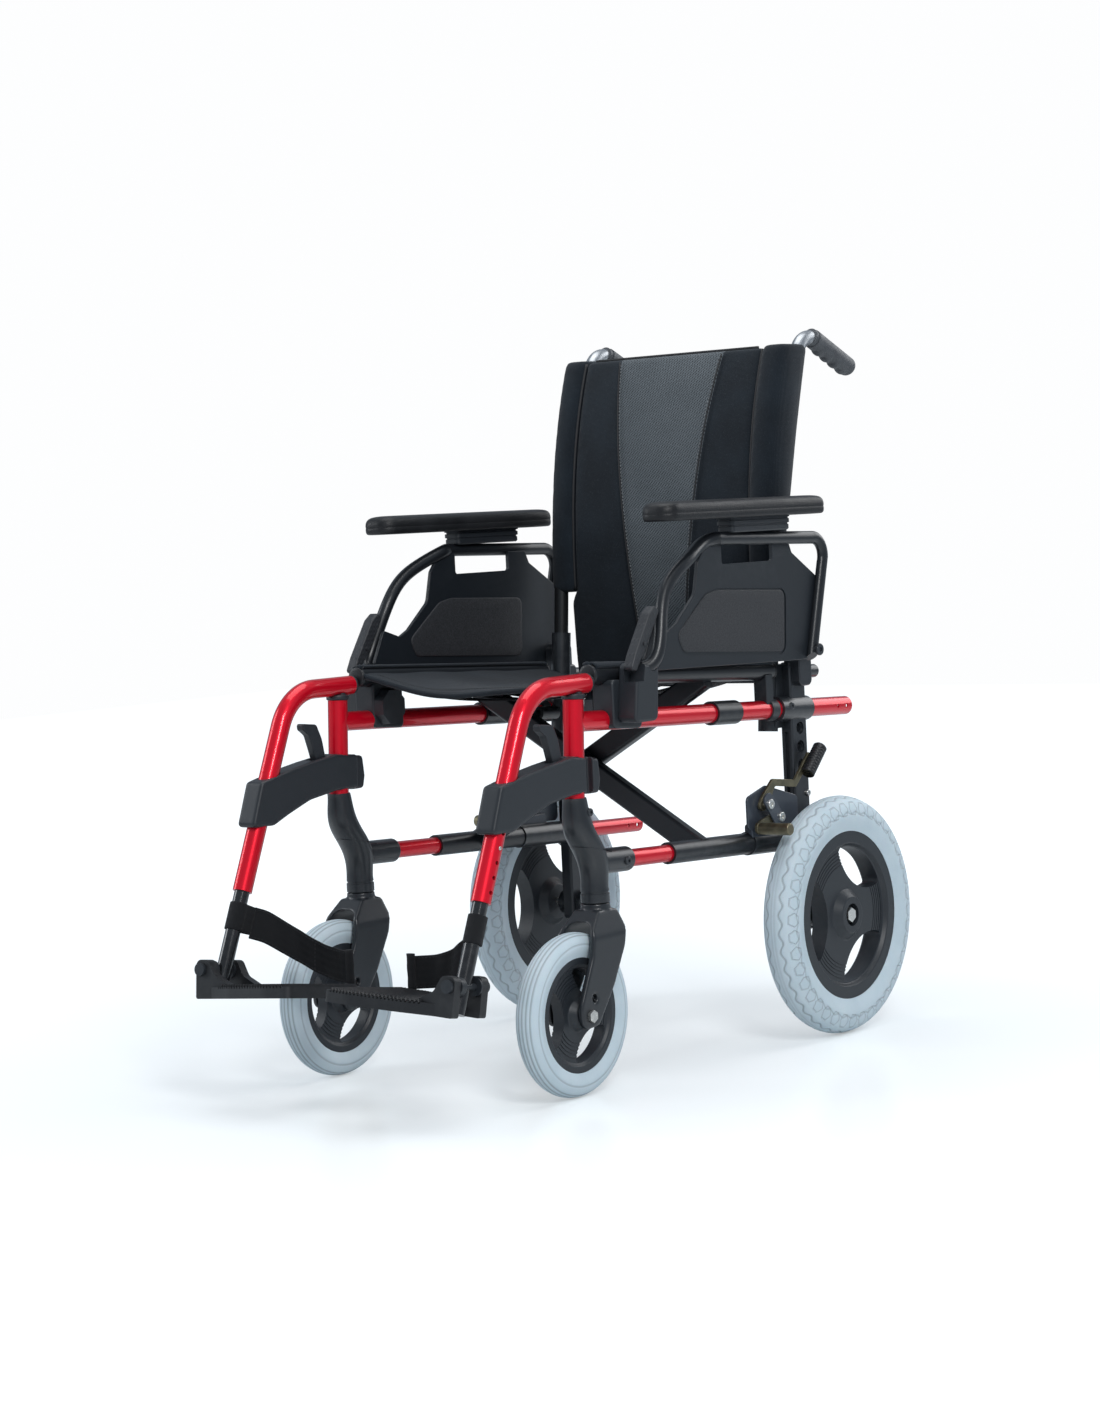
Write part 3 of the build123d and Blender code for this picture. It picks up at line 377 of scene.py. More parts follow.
RED = make_red_paint()
BLACK = make_coat("black_coat", (0.0095, 0.0115, 0.0145), 0.34, 850, 0.10, coat=0.1)
GLOSS_BLACK = make_coat("gloss_black", (0.008, 0.0085, 0.010), 0.18, 500, 0.02, cloud=0.1, coat=0.5)
CASTING = make_coat("casting", (0.0145, 0.0175, 0.0215), 0.34, 620, 0.12, coat=0.25)
DARK_PLASTIC = make_coat("dark_plastic", (0.018, 0.022, 0.027), 0.44, 640, 0.22)
WHEEL_PLASTIC = make_coat("wheel_plastic", (0.020, 0.0245, 0.030), 0.42, 560, 0.16)
PLATE_PLASTIC = make_coat("plate_plastic", (0.014, 0.015, 0.017), 0.46, 600, 0.22)
PANEL_PLASTIC = make_coat("panel_plastic", (0.0105, 0.014, 0.0185), 0.40, 760, 0.20)
BRAKE_PLATE = make_coat("brake_plate", (0.045, 0.055, 0.072), 0.34, 500, 0.15, wear=(0.4, 0.42, 0.45),
                        coat=0.3)
ZINC = make_zinc()
BRAKE_STEEL = make_brake_steel()
TYRE = make_tyre("grey_tyre")
REAR_TYRE = make_tyre("grey_tyre_lugs", lugs=True)
NYLON = make_nylon()
BACK_COVER = make_back_fabric()
WEBBING = make_webbing()
PAD_SKIN = make_pad_skin()
INLAY = make_inlay()
THREAD = make_plain("thread", (0.018, 0.019, 0.021), 0.7)
LIGHT_THREAD = make_plain("light_thread", (0.16, 0.165, 0.17), 0.7)
PIPING = make_plain("piping", (0.010, 0.0105, 0.012), 0.6)
CAP_PLASTIC = make_plain("cap_plastic", (0.010, 0.0105, 0.012), 0.4)

# the other nodes in sight are black; finer pieces further down replace the rest
FINISHES = {
    "frame_tubes": RED, "hanger_tube": RED, "caster_housing": CASTING, "rear_post": CASTING,
    "back_post": make_back_post(), "push_grip": make_grip_rubber(), "rail_cradles": DARK_PLASTIC,
    "rear_wheel": WHEEL_PLASTIC, "caster_wheel": WHEEL_PLASTIC, "caster_axle": ZINC,
    "release_lever": DARK_PLASTIC, "footrest_tube": GLOSS_BLACK, "footplate_pin": DARK_PLASTIC,
    "footplate": PLATE_PLASTIC, "side_panel": PANEL_PLASTIC, "armrest_lever": make_bumped_lever(),
    "brake_bracket": BRAKE_PLATE, "brake_lever": BRAKE_STEEL, "brake_shoe": BRAKE_STEEL,
    "frame_bolts": make_screws(),
}
for name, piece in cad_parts.items():
    piece.data.materials.clear()
    piece.data.materials.append(FINISHES.get(name.split("_", 1)[1], BLACK))


# ---- mesh helpers
def new_mesh(name, verts, faces, mat, smooth=True):
    mesh = bpy.data.meshes.new(name)
    mesh.from_pydata([tuple(v) for v in verts], [], [tuple(f) for f in faces])
    mesh.validate()
    work = bmesh.new()
    work.from_mesh(mesh)
    bmesh.ops.recalc_face_normals(work, faces=work.faces)
    work.to_mesh(mesh)
    work.free()
    if smooth:
        mesh.shade_smooth()
    piece = bpy.data.objects.new(name, mesh)
    scene.collection.objects.link(piece)
    mesh.materials.append(mat)
    return piece


def points_of(piece):
    places = np.empty(len(piece.data.vertices) * 3, np.float32)
    piece.data.vertices.foreach_get("co", places)
    return places.reshape(-1, 3).astype(float)


def store(piece, name, values):
    """Keeps a number or a place on each point, for the materials."""
    values = np.asarray(values, np.float32)
    kind, field = ("FLOAT", "value") if values.ndim == 1 else ("FLOAT_VECTOR", "vector")
    piece.data.attributes.new(name, kind, "POINT").data.foreach_set(field, values.ravel())


def keep_rest(piece):
    """Stores where each point is at rest, so that patterns stay on the cloth when it moves."""
    store(piece, "rest", points_of(piece))


def fit(piece, body, instead=None):
    """Fixes a piece to a body; instead is the CAD node that it replaces."""
    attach(piece, body)
    if instead:
        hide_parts(instead)


def grid(rows, closed_rows=False, closed_columns=False):
    """Vertices and quads from a rows x columns x 3 array."""
    rows = np.asarray(rows, float)
    height, width = rows.shape[:2]
    faces = []
    for r in range(height if closed_rows else height - 1):
        for c in range(width if closed_columns else width - 1):
            r2, c2 = (r + 1) % height, (c + 1) % width
            faces.append((r * width + c, r * width + c2, r2 * width + c2, r2 * width + c))
    return rows.reshape(-1, 3), faces


def capped(rings):
    """A closed skin through rings of equal length, with both ends filled."""
    verts, faces = grid(rings, closed_columns=True)
    width = len(rings[0])
    faces.append(tuple(range(width))[::-1])
    faces.append(tuple(range(len(verts) - width, len(verts))))
    return verts, faces


def circle(count):
    """Cosines and sines of even steps round a circle."""
    turns = np.linspace(0, 2 * math.pi, count, endpoint=False)
    return np.cos(turns), np.sin(turns)


def spokes(ahead, side, count):
    """A ring of radius 1 round the direction ahead, from side on."""
    cosines, sines = circle(count)
    return np.outer(cosines, side) + np.outer(sines, np.cross(ahead, side))


def unit(vectors):
    return vectors / np.linalg.norm(vectors, axis=-1, keepdims=True)


def cord(points, radius, sides=8):
    """Rings of a round cord along points; radius is one number or one for each point."""
    points = np.asarray(points, float)
    along = unit(np.gradient(points, axis=0))
    side = np.cross(along[0], (0.3, 0.5, 0.8))
    rings = []
    for centre, ahead, size in zip(points, along, np.broadcast_to(radius, len(points))):
        side = unit(side - ahead * side.dot(ahead))
        rings.append(centre + size * spokes(ahead, side, sides))
    return rings


def cord_piece(name, points, radius, mat, sides=8):
    return new_mesh(name, *capped(cord(points, radius, sides)), mat)


def lengths_along(points):
    return np.r_[0, np.cumsum(np.linalg.norm(np.diff(points, axis=0), axis=1))]


def spaced(points, count):
    """A line through the same places in count evenly spaced points."""
    lengths = lengths_along(points)
    marks = np.linspace(0, lengths[-1], count)
    return np.stack([np.interp(marks, lengths, values) for values in points.T], axis=1)


def resample(points, step):
    points = np.asarray(points, float)
    return spaced(points, max(2, int(lengths_along(points)[-1] / step)))


def catmull(points, count):
    """A smooth line through points, with evenly spaced samples."""
    points = np.asarray(points, float)
    ends = np.vstack([2 * points[0] - points[1], points, 2 * points[-1] - points[-2]])
    out = []
    for i in range(1, len(ends) - 2):
        p0, p1, p2, p3 = ends[i - 1:i + 3]
        for t in np.linspace(0, 1, 24, endpoint=False):
            out.append(0.5 * (2 * p1 + (p2 - p0) * t + (2 * p0 - 5 * p1 + 4 * p2 - p3) * t * t
                              + (3 * p1 - p0 - 3 * p2 + p3) * t ** 3))
    return spaced(np.array(out + [points[-1]]), count)


STITCH, STITCH_GAP, STITCH_R = 0.0034, 0.0018, 0.0005
STITCH_STEP = 0.0004      # distance between the points that stitches are cut from


def stitches(name, points, mat):
    """A row of raised thread stitches along a line."""
    line = resample(points, STITCH_STEP)
    size = int(STITCH / STITCH_STEP)
    verts, faces = [], []
    for start in range(0, len(line) - size, int((STITCH + STITCH_GAP) / STITCH_STEP)):
        bit = line[start:start + size + 1:size // 4]
        radii = STITCH_R * np.sin(np.linspace(0.35, math.pi - 0.35, len(bit)))
        more, quads = capped(cord(bit, radii, 6))
        faces.extend(tuple(i + len(verts) for i in quad) for quad in quads)
        verts.extend(more)
    return new_mesh(name, verts, faces, mat)


def settle(piece):
    """Applies a piece's modifiers."""
    graph = bpy.context.evaluated_depsgraph_get()
    made = bpy.data.meshes.new_from_object(piece.evaluated_get(graph))
    piece.modifiers.clear()
    old = piece.data
    piece.data = made
    bpy.data.meshes.remove(old)


def modify(piece, kind, **values):
    """Adds a modifier and applies it."""
    made = piece.modifiers.new(kind.lower(), kind)
    for key, value in values.items():
        setattr(made, key, value)
    settle(piece)


CLOTH_STEPS = 20
CLOTH = {"quality": 5, "use_pressure": True, "tension_stiffness": 12, "bending_stiffness": 0.6,
         "vertex_group_mass": "held"}


def inflate(piece, held, pressure, cap):
    """Remeshes a closed form and lets cloth pressure fill it out between its held seams."""
    modify(piece, "REMESH", mode="VOXEL", voxel_size=0.005, use_smooth_shade=True)
    start = points_of(piece)
    pins = piece.vertex_groups.new(name="held")
    pins.add(np.flatnonzero(held(start)).tolist(), 1.0, "REPLACE")
    cloth = piece.modifiers.new("cloth", "CLOTH")
    for key, value in {**CLOTH, "uniform_pressure_force": pressure}.items():
        setattr(cloth.settings, key, value)
    cloth.settings.effector_weights.gravity = 0
    cloth.collision_settings.use_collision = False
    cloth.point_cache.frame_start = 1
    cloth.point_cache.frame_end = CLOTH_STEPS
    for step in range(CLOTH_STEPS):
        scene.frame_set(step + 1)
    settle(piece)
    moved = points_of(piece) - start
    far = np.linalg.norm(moved, axis=1)
    share = np.minimum(1.0, cap / np.maximum(far, 1e-9))
    piece.data.vertices.foreach_set("co", (start + moved * share[:, None]).astype(np.float32).ravel())
    scene.frame_set(1)
    piece.data.shade_smooth()


def mirrored(piece, name):
    """The same piece on the other side of the chair."""
    verts = points_of(piece) * (-1, 1, 1)
    faces = [tuple(p.vertices)[::-1] for p in piece.data.polygons]
    return new_mesh(name, verts, faces, piece.data.materials[0])


# ---- tyres
def tyre(name, centre, mat, depth_at, outer_r, rim_r, rim_half, belly, around, across):
    """Revolved tyre whose tread grooves are cut by depth_at(turn, distance from the crown line)."""
    deep = outer_r - rim_r
    half = [(rim_half, rim_r), (belly, rim_r + 0.45 * deep), (belly * 0.74, rim_r + 0.85 * deep)]
    profile = catmull([(-x, r) for x, r in half] + [(0, outer_r)] + half[::-1], across)
    ahead = np.gradient(profile, axis=0)
    normal = unit(np.stack([-ahead[:, 1], ahead[:, 0]], axis=1))
    lengths = lengths_along(profile)
    off_crown = np.abs(lengths - lengths[-1] / 2)
    rows, cuts = [], []
    for turn in np.linspace(0, 2 * math.pi, around, endpoint=False):
        cut = depth_at(turn, off_crown)
        x, reach = (profile - normal * cut[:, None]).T
        rows.append(centre + np.stack([x, reach * math.sin(turn), reach * math.cos(turn)], axis=1))
        cuts.append(cut)
    piece = new_mesh(name, *grid(rows, closed_rows=True), mat)
    store(piece, "groove", np.ravel(cuts) / np.max(cuts))
    return piece


def line_cut(distance, width, depth):
    return depth * np.clip(1 - (distance / width) ** 2, 0, 1)


def rear_tread(turn, off):
    """Two wavy lines and one plain line on each side of the crown."""
    swing = math.sin(turn * LUGS)
    return np.max([line_cut(off - (0.0105 + 0.0024 * swing), 0.0016, 0.0012),
                   line_cut(off - (0.0365 + 0.0016 * swing), 0.0014, 0.0008),
                   line_cut(off - 0.0025, 0.0009, 0.0006)], axis=0)


def caster_tread(_turn, off):
    """Plain lines: one on the crown and three on each side of it."""
    lines = [line_cut(off - place, 0.0011, 0.0009) for place in (0.0, 0.0055, 0.011)]
    return np.max(lines + [line_cut(off - 0.0235, 0.0012, 0.0006)], axis=0)


# outer and rim radius, half width at the rim and at its widest, points around and across
TYRES = (("rear", REAR_TYRE, rear_tread, (0.1575, 0.111, 0.018, 0.024, 480, 96)),
         ("caster", TYRE, caster_tread, (0.1, 0.07, 0.012, 0.016, 300, 72)))
for side, _ in SIDES:
    for place, mat, tread, sizes in TYRES:
        source = f"{side}_{place}_tyre"
        piece = tyre(f"{source}_tread", middle(source), mat, tread, *sizes)
        fit(piece, f"{side}_{place}_wheel", instead=source)


# ---- padded back
# heights, and how far behind the axle the cushion's front and the posts' middle stand there
BACK_FRONT = ((0.464, -0.023), (0.57, -0.027), (0.68, -0.031), (0.80, -0.011), (0.913, 0.021))
POST_LINE = ((0.453, -0.0363), (0.60, -0.0232), (0.655, -0.0178), (0.70, -0.0060), (0.80, 0.0291),
             (0.93, 0.0772))
FRONT_CURVE = np.polyfit(*zip(*BACK_FRONT), 3)
BACK_TOP = 0.914
BACK_LOW = 0.466
CUSHION_DEEP = 0.019
PANEL_HALF = 0.1475
PANEL_HALF_LOW = 0.1570
SLEEVE_LOW = 0.596
SLEEVE_TOP = BACK_TOP + 0.003
SLEEVE_X = 0.1665
POST_X = 0.168            # the posts' middle, where the sleeves are sewn and the sling ends
POCKET_HALF = 0.125
POCKET_LOW, POCKET_TOP = 0.61, 0.80
SLING_TOP = 0.905


def front_at(up):
    return np.polyval(FRONT_CURVE, up)


def post_at(up):
    return np.interp(up, *zip(*POST_LINE))


def rear_at(x, up, proud):
    """A point on the sling behind the cushion; it is drawn forward between the posts."""
    dip = 0.010 * (1 - (x / POST_X) ** 2)
    return (x, AXLE_Y + max(post_at(up), front_at(up) + 0.026) + 0.011 - dip + proud, up)


def panel_half(up):
    """The cushion fills the room between the posts below the sleeves."""
    return np.interp(up, (SLEEVE_LOW - 0.012, SLEEVE_LOW + 0.004), (PANEL_HALF_LOW, PANEL_HALF))


def mesh_half(up):
    rise = up - MESH_LOW
    return MESH_HALF + rise * (MESH_SLOPE + MESH_CURVE * rise)


def round_slab(half_x, deep, edge):
    """Outline of a slab's cross-section, front face first: x and depth behind the front."""
    turns = np.linspace(0, math.pi / 2, 9)
    corner = np.stack([half_x - edge + edge * np.cos(turns), edge - edge * np.sin(turns)], axis=1)
    right = np.vstack([corner[::-1], corner * (1, -1) + (0, deep)])
    return np.vstack([right, right[::-1] * (-1, 1)])


def build_back_panel():
    rings = []
    for up in np.linspace(BACK_LOW, BACK_TOP, 90):
        end = min(up - BACK_LOW, BACK_TOP - up)
        tuck = 0.006 * (1 - min(1.0, end / 0.012)) ** 2
        front = AXLE_Y + front_at(up) + 0.003 + 7 * tuck * CUSHION_DEEP
        rings.append([(x * (1 - tuck), front + y * (1 - 14 * tuck), up)
                      for x, y in round_slab(panel_half(up), CUSHION_DEEP, 0.008)])
    return new_mesh("back_cushion", *capped(rings), BACK_COVER)


def back_held(places):
    """Seams: round the edge, up both sides of the mesh field, and the whole rear face."""
    x, y, up = np.abs(places[:, 0]), places[:, 1] - AXLE_Y, places[:, 2]
    rim = (x > panel_half(up) - 0.007) | (up > BACK_TOP - 0.007) | (up < BACK_LOW + 0.007)
    return (y > front_at(up) + 0.012) | rim | (np.abs(x - mesh_half(up)) < 0.0035)


def front_line(sign, half_at, inset, low, high, proud):
    """A line on the cushion's front face, inside half_at(up) and standing proud of it."""
    return [(sign * (half_at(up) - inset), AXLE_Y + front_at(up) - proud, up)
            for up in np.linspace(low, high, 60)]


def build_sleeve():
    """Padded sleeve round the left post, from the panel's seam to behind the post."""
    cosines, sines = (np.sign(c) * np.abs(c) ** (2 / 3.4) for c in circle(44))
    rings = []
    for up in np.linspace(SLEEVE_LOW, SLEEVE_TOP, 54):
        front = front_at(up) - 0.004
        rear = post_at(up) + np.interp(up, (SLEEVE_LOW, 0.713, 0.913), (0.030, 0.032, 0.0145))
        end = min(up - SLEEVE_LOW, SLEEVE_TOP - up)
        shrink = 1 - 0.10 * (1 - min(1.0, end / 0.008)) ** 2
        rings.append(np.stack([SLEEVE_X + 0.0205 * shrink * cosines,
                               AXLE_Y + (front + rear) / 2 + (rear - front) / 2 * shrink * sines,
                               np.full(len(sines), up)], axis=1))
    return new_mesh("left_back_sleeve", *capped(rings), NYLON)


def sleeve_held(places):
    x, y, up = places[:, 0], places[:, 1] - AXLE_Y, places[:, 2]
    inner = (x < 0.150) & (np.abs(y - front_at(up)) < 0.012)
    ends = (up > BACK_TOP - 0.003) | (up < SLEEVE_LOW + 0.006)
    return inner | ends | ((np.abs(x - POST_X) < 0.003) & (y > post_at(up)))


def sheet(name, rows, thickness):
    """A sheet of cloth through rows of points."""
    piece = new_mesh(name, *grid(rows), NYLON)
    modify(piece, "SOLIDIFY", thickness=thickness, offset=0)
    return piece


def rear_sheet(name, xs, ups, proud_at, thickness):
    return sheet(name, [[rear_at(x, up, proud_at(x, up)) for x in xs] for up in ups], thickness)


def sling_crease(x, up):
    """The sling is creased where it leaves the sleeves."""
    return 0.0012 * math.sin(up * 60 + 3 * math.sin(x * 18)) * math.exp(-((abs(x) - 0.15) / 0.03) ** 2)


def pocket_gape(x, up):
    """The pocket lies flat at its seams and gapes a little at its mouth."""
    gape = 0.0045 + 0.006 * ((up - POCKET_LOW) / (POCKET_TOP - POCKET_LOW)) ** 3
    edge = min(1.0, (POCKET_HALF - abs(x)) / 0.012, (up - POCKET_LOW + 0.001) / 0.012)
    return 0.0014 + gape * math.sin(edge * math.pi / 2)


panel = build_back_panel()
inflate(panel, back_held, 3.2, 0.008)
flat = points_of(panel)
store(panel, "front", flat[:, 1] - AXLE_Y < front_at(flat[:, 2]) + 0.008)
left_sleeve = build_sleeve()
inflate(left_sleeve, sleeve_held, 3.0, 0.005)
for piece in (panel, left_sleeve):
    modify(piece, "SUBSURF", levels=1)
post_pieces = [(left_sleeve, "left"), (mirrored(left_sleeve, "right_back_sleeve"), "right")]
sling = rear_sheet("back_sling", np.linspace(-POST_X, POST_X, 60), np.linspace(0.55, SLING_TOP, 50),
                   sling_crease, 0.0022)
sling_hem = [rear_at(x, SLING_TOP, 0.0) for x in np.linspace(-0.155, 0.155, 50)]
pocket_xs = np.linspace(-POCKET_HALF, POCKET_HALF, 50)
pocket = rear_sheet("back_pocket", pocket_xs, np.linspace(POCKET_LOW, POCKET_TOP, 40), pocket_gape, 0.0016)
mouth = [rear_at(x, POCKET_TOP, 0.0125 * math.cos(x * 11) + 0.001) for x in pocket_xs]
top_line = [(x, AXLE_Y + front_at(BACK_TOP) + 0.012, BACK_TOP + 0.001)
            for x in np.linspace(-0.136, 0.136, 40)]
back_pieces = [panel, pocket, cord_piece("pocket_piping", mouth, 0.0020, PIPING),
               cord_piece("back_top_piping", top_line, 0.0020, PIPING)]
sling_pieces = [sling, cord_piece("sling_hem", sling_hem, 0.0022, PIPING)]
for side, sign in SIDES:
    seam = front_line(sign, mesh_half, 0, BACK_LOW + 0.012, BACK_TOP - 0.004, 0.0006)
    inner = front_line(sign, mesh_half, 0.0028, BACK_LOW + 0.014, BACK_TOP - 0.006, 0.0012)
    edge = front_line(sign, panel_half, -0.0005, SLEEVE_LOW + 0.004, BACK_TOP - 0.002, -0.0045)
    hem = [rear_at(sign * POCKET_HALF, up, 0.003) for up in np.linspace(POCKET_LOW + 0.002, POCKET_TOP, 30)]
    back_pieces += [cord_piece(f"{side}_mesh_seam", seam, 0.0011, PIPING),
                    stitches(f"{side}_mesh_stitches", inner, LIGHT_THREAD),
                    stitches(f"{side}_pocket_stitches", hem, THREAD)]
    post_pieces.append((cord_piece(f"{side}_sleeve_piping", edge, 0.0018, PIPING), side))

# the back fabric rides with the right frame as the side frames fold together; each sleeve stays on its post
for gathered, half in ((back_pieces, 0.143), (sling_pieces, POST_X)):
    for piece in gathered:
        keep_rest(piece)
        fit(piece, "right_frame")
        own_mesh(piece)
for piece, side in post_pieces:
    keep_rest(piece)
    fit(piece, f"{side}_frame")
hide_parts("back_upholstery")


# ---- sling seat
RAIL_FRONT = at(188, -446, 507)
RAIL_REAR = at(188, -54, 485.5)
RAIL_X = RAIL_FRONT[0]
RAIL_R = 0.0125
SEAT_FRONT = at(0, -443, 0)[1]
SEAT_REAR = at(0, -57, 0)[1]
SHEET_LIFT = 0.0022       # the sheet's middle above the rail's surface
SAG = 0.026


def seat_y(share):
    return SEAT_FRONT + share * (SEAT_REAR - SEAT_FRONT)


def seat_section(y, lift, sag, ruck):
    """Cross-section of the sheet: over the top of each rail, then hanging between them."""
    radius = RAIL_R + lift
    axis_up = np.interp(y, (RAIL_FRONT[1], RAIL_REAR[1]), (RAIL_FRONT[2], RAIL_REAR[2]))
    wrap = np.radians(np.linspace(118, 42, 12))
    over = [(-RAIL_X - radius * math.cos(a), axis_up + radius * math.sin(a)) for a in wrap]
    start_x, start_up = over[-1]
    hang = []
    for x in np.linspace(start_x, -start_x, 90)[1:-1]:
        share = x / start_x
        belly = sag * (1 - abs(share) ** 2.4)
        crease = ruck * math.sin(31 * x + 55 * (y - SEAT_FRONT)) * (1 - share ** 6)
        hang.append((x, start_up - belly + crease))
    return [(x, y, up) for x, up in over + hang + [(-x, up) for x, up in over[::-1]]]


def seat_row(share):
    """The sheet's section at a share of its length; it dips and creases more at its front edge."""
    dip = 0.006 * math.exp(-share / 0.05)
    ruck = 0.0010 + 0.0012 * math.exp(-share / 0.12)
    return seat_section(seat_y(share), SHEET_LIFT, SAG + dip, ruck)


def seat_line(share, lift, inset=0.0):
    return [(x, y, up + lift) for x, y, up in seat_row(share) if abs(x) < RAIL_X - inset]


def build_under_strap(name, y):
    """Tension strap under the seat sheet, from rail to rail."""
    rows = []
    for offset in np.linspace(-0.019, 0.019, 8):
        section = seat_section(y + offset, 0.0, SAG + 0.010, 0.0)
        rows.append([(x, back, up - 0.0035) for x, back, up in section if abs(x) < 0.172])
    piece = new_mesh(name, *grid(rows), WEBBING)
    store(piece, "flat", (points_of(piece) - (0, y, 0)) * (1, 1, 0))
    modify(piece, "SOLIDIFY", thickness=0.0018, offset=0)
    return piece


seat = sheet("seat_sheet", [seat_row(share) for share in np.linspace(0, 1, 70)], 0.0034)
modify(seat, "SUBSURF", levels=1)
seat_pieces = [seat, cord_piece("seat_front_hem", seat_line(0.0, -0.0012), 0.0036, NYLON, 10),
               cord_piece("seat_rear_hem", seat_line(1.0, -0.0010), 0.0030, NYLON, 10),
               stitches("seat_front_stitches", seat_line(0.036, 0.0018, 0.02), THREAD),
               stitches("seat_front_stitches_b", seat_line(0.046, 0.0018, 0.02), THREAD)]
for index, share in enumerate((0.14, 0.33, 0.52, 0.71, 0.88)):
    seat_pieces.append(build_under_strap(f"seat_strap_{index + 1}", seat_y(share)))
for piece in seat_pieces:
    keep_rest(piece)
    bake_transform(piece)
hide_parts("seat_sling")


# ---- arm pads
PAD_LOW = 0.6895
PAD_FRONT, PAD_REAR = -0.352, 0.0105
PAD_HALF = 0.0257
PAD_CROWN = 0.0243
# how far each ring lies inside the outline, and its height above the pad's underside
PAD_RINGS = [(0.0245, -0.0006), (0.006, -0.0004), (0.0022, 0), (0.0006, 0.0018), (0, 0.0050), (0, 0.0086),
             (0.0007, 0.0093), (0, 0.0100), (0, 0.0140), (0.0010, 0.0180), (0.0034, 0.0212),
             (0.0075, 0.0230), (0.0135, 0.0238), (0.0200, 0.0242), (0.0248, PAD_CROWN)]
# half width, how much longer each end is, and two heights, from the tube's saddle up to the pad
BLOCK_BANDS = [(0.0128, 0, 0.6722, 0.6775), (0.0118, -0.001, 0.6780, 0.6795), (0.0132, 0.001, 0.6800, 0.6850),
               (0.0120, -0.001, 0.6855, 0.6870), (0.0136, 0.0015, 0.6876, 0.6893)]


def rounded_loop(half_x, front, rear, radius, per_corner):
    """Rounded rectangle in plan."""
    radius = min(radius, half_x - 0.0002)
    far, low, high = half_x - radius, front + radius, rear - radius
    loop = []
    for quarter, (x, y) in enumerate(((far, high), (-far, high), (-far, low), (far, low))):
        for turn in np.linspace(quarter, quarter + 1, per_corner) * math.pi / 2:
            loop.append((x + radius * math.cos(turn), y + radius * math.sin(turn)))
    return loop


def build_pad(name, centre_x):
    """Moulded pad: crowned top, soft shoulders, a dropped nose and a parting line round its side."""
    rings = []
    for inset, up in PAD_RINGS:
        loop = rounded_loop(PAD_HALF - inset, PAD_FRONT + inset, PAD_REAR - inset, 0.021 - inset * 0.8, 14)
        ring = []
        for x, back in loop:
            nose = 0.0022 * max(0.0, (-0.330 - back) / 0.022) ** 2 * up / PAD_CROWN
            ring.append((centre_x + x, AXLE_Y + back, PAD_LOW + up - nose))
        rings.append(ring)
    piece = new_mesh(name, *capped(rings), PAD_SKIN)
    modify(piece, "SUBSURF", levels=1)
    return piece


def build_pad_block(name, centre_x):
    """Carrier under the pad with two moulded ribs, and its saddle on the tube."""
    rings = []
    for half, grow, *ups in [(0.0118, -0.002, 0.6705)] + BLOCK_BANDS:
        loop = rounded_loop(half, -0.195 - grow, -0.064 + grow, 0.005, 6)
        rings += [[(centre_x + x, AXLE_Y + back, up) for x, back in loop] for up in ups]
    return new_mesh(name, *capped(rings), DARK_PLASTIC, smooth=False)


for side, sign in SIDES:
    pad = build_pad(f"{side}_arm_cushion", sign * 0.228)
    fit(pad, f"{side}_armrest", instead=f"{side}_arm_pad")
    fit(build_pad_block(f"{side}_arm_pad_block", sign * 0.226), f"{side}_armrest")


# ---- heel straps
HINGE = at(197, -716, 165)
ACROSS = np.array([1.0, 0, 0])
LEG_UP = np.array([0, 0.3953, 0.9185])
LOOP_AT = at(191, -716, 165) + 0.0675 * LEG_UP
LOOP_SWING = math.radians(-62)
LOOP_R = 0.0108
LOOP_REACH = 0.020
LOOP_STEP = 0.0018
LOOP_HALF = 0.0172
WEB_HALF = 0.0200
WEB_LONG = 0.165
# across, behind the axle, height of the webbing's middle line, in millimetres
STRAP_PATH = [(181, -673, 218), (166, -663, 211.5), (148, -652, 198.5), (128, -642, 185), (106, -635, 172.5),
              (82, -633, 165.5), (60, -637, 163.5), (47, -644, 163)]
STRAP_LINE = catmull([at(*spot) for spot in STRAP_PATH], 110)


def strap_point(index, share_up, proud=0.0):
    """A spot on the webbing; it leans with the leg at the tube and stands upright behind the heels."""
    share = index / (len(STRAP_LINE) - 1)
    lean = max(0.0, 1 - 1.6 * share)
    upright = lean * LEG_UP + (1 - lean) * np.array([0, 0.03, 1])
    ahead = STRAP_LINE[min(index + 1, len(STRAP_LINE) - 1)] - STRAP_LINE[max(index - 1, 0)]
    out = np.cross(unit(ahead), upright)
    ruck = 0.0009 * math.sin(share * 31 + share_up * 2.2) * math.sin(math.pi * share)
    return STRAP_LINE[index] + (2 * share_up - 1) * WEB_HALF * upright + out * (ruck + proud)


def webbing(name, rows, flats, closed=False):
    piece = new_mesh(name, *grid(rows, closed_columns=closed), WEBBING)
    store(piece, "flat", flats)
    modify(piece, "SOLIDIFY", thickness=0.0022, offset=0)
    modify(piece, "BEVEL", width=0.0005, segments=2)
    return piece


def loop_outline():
    """The loop's outline: round the tube, then drawn together inboard of it where the webbing leaves."""
    wrap = [(-LOOP_R * math.cos(t), LOOP_R * math.sin(t)) for t in np.linspace(0.75, 2 * math.pi - 0.75, 28)]
    near = [(-LOOP_REACH, -0.0022), (-LOOP_REACH - 0.002, 0.0), (-LOOP_REACH, 0.0022)]
    return resample(wrap + near + wrap[:1], LOOP_STEP)[:-1]


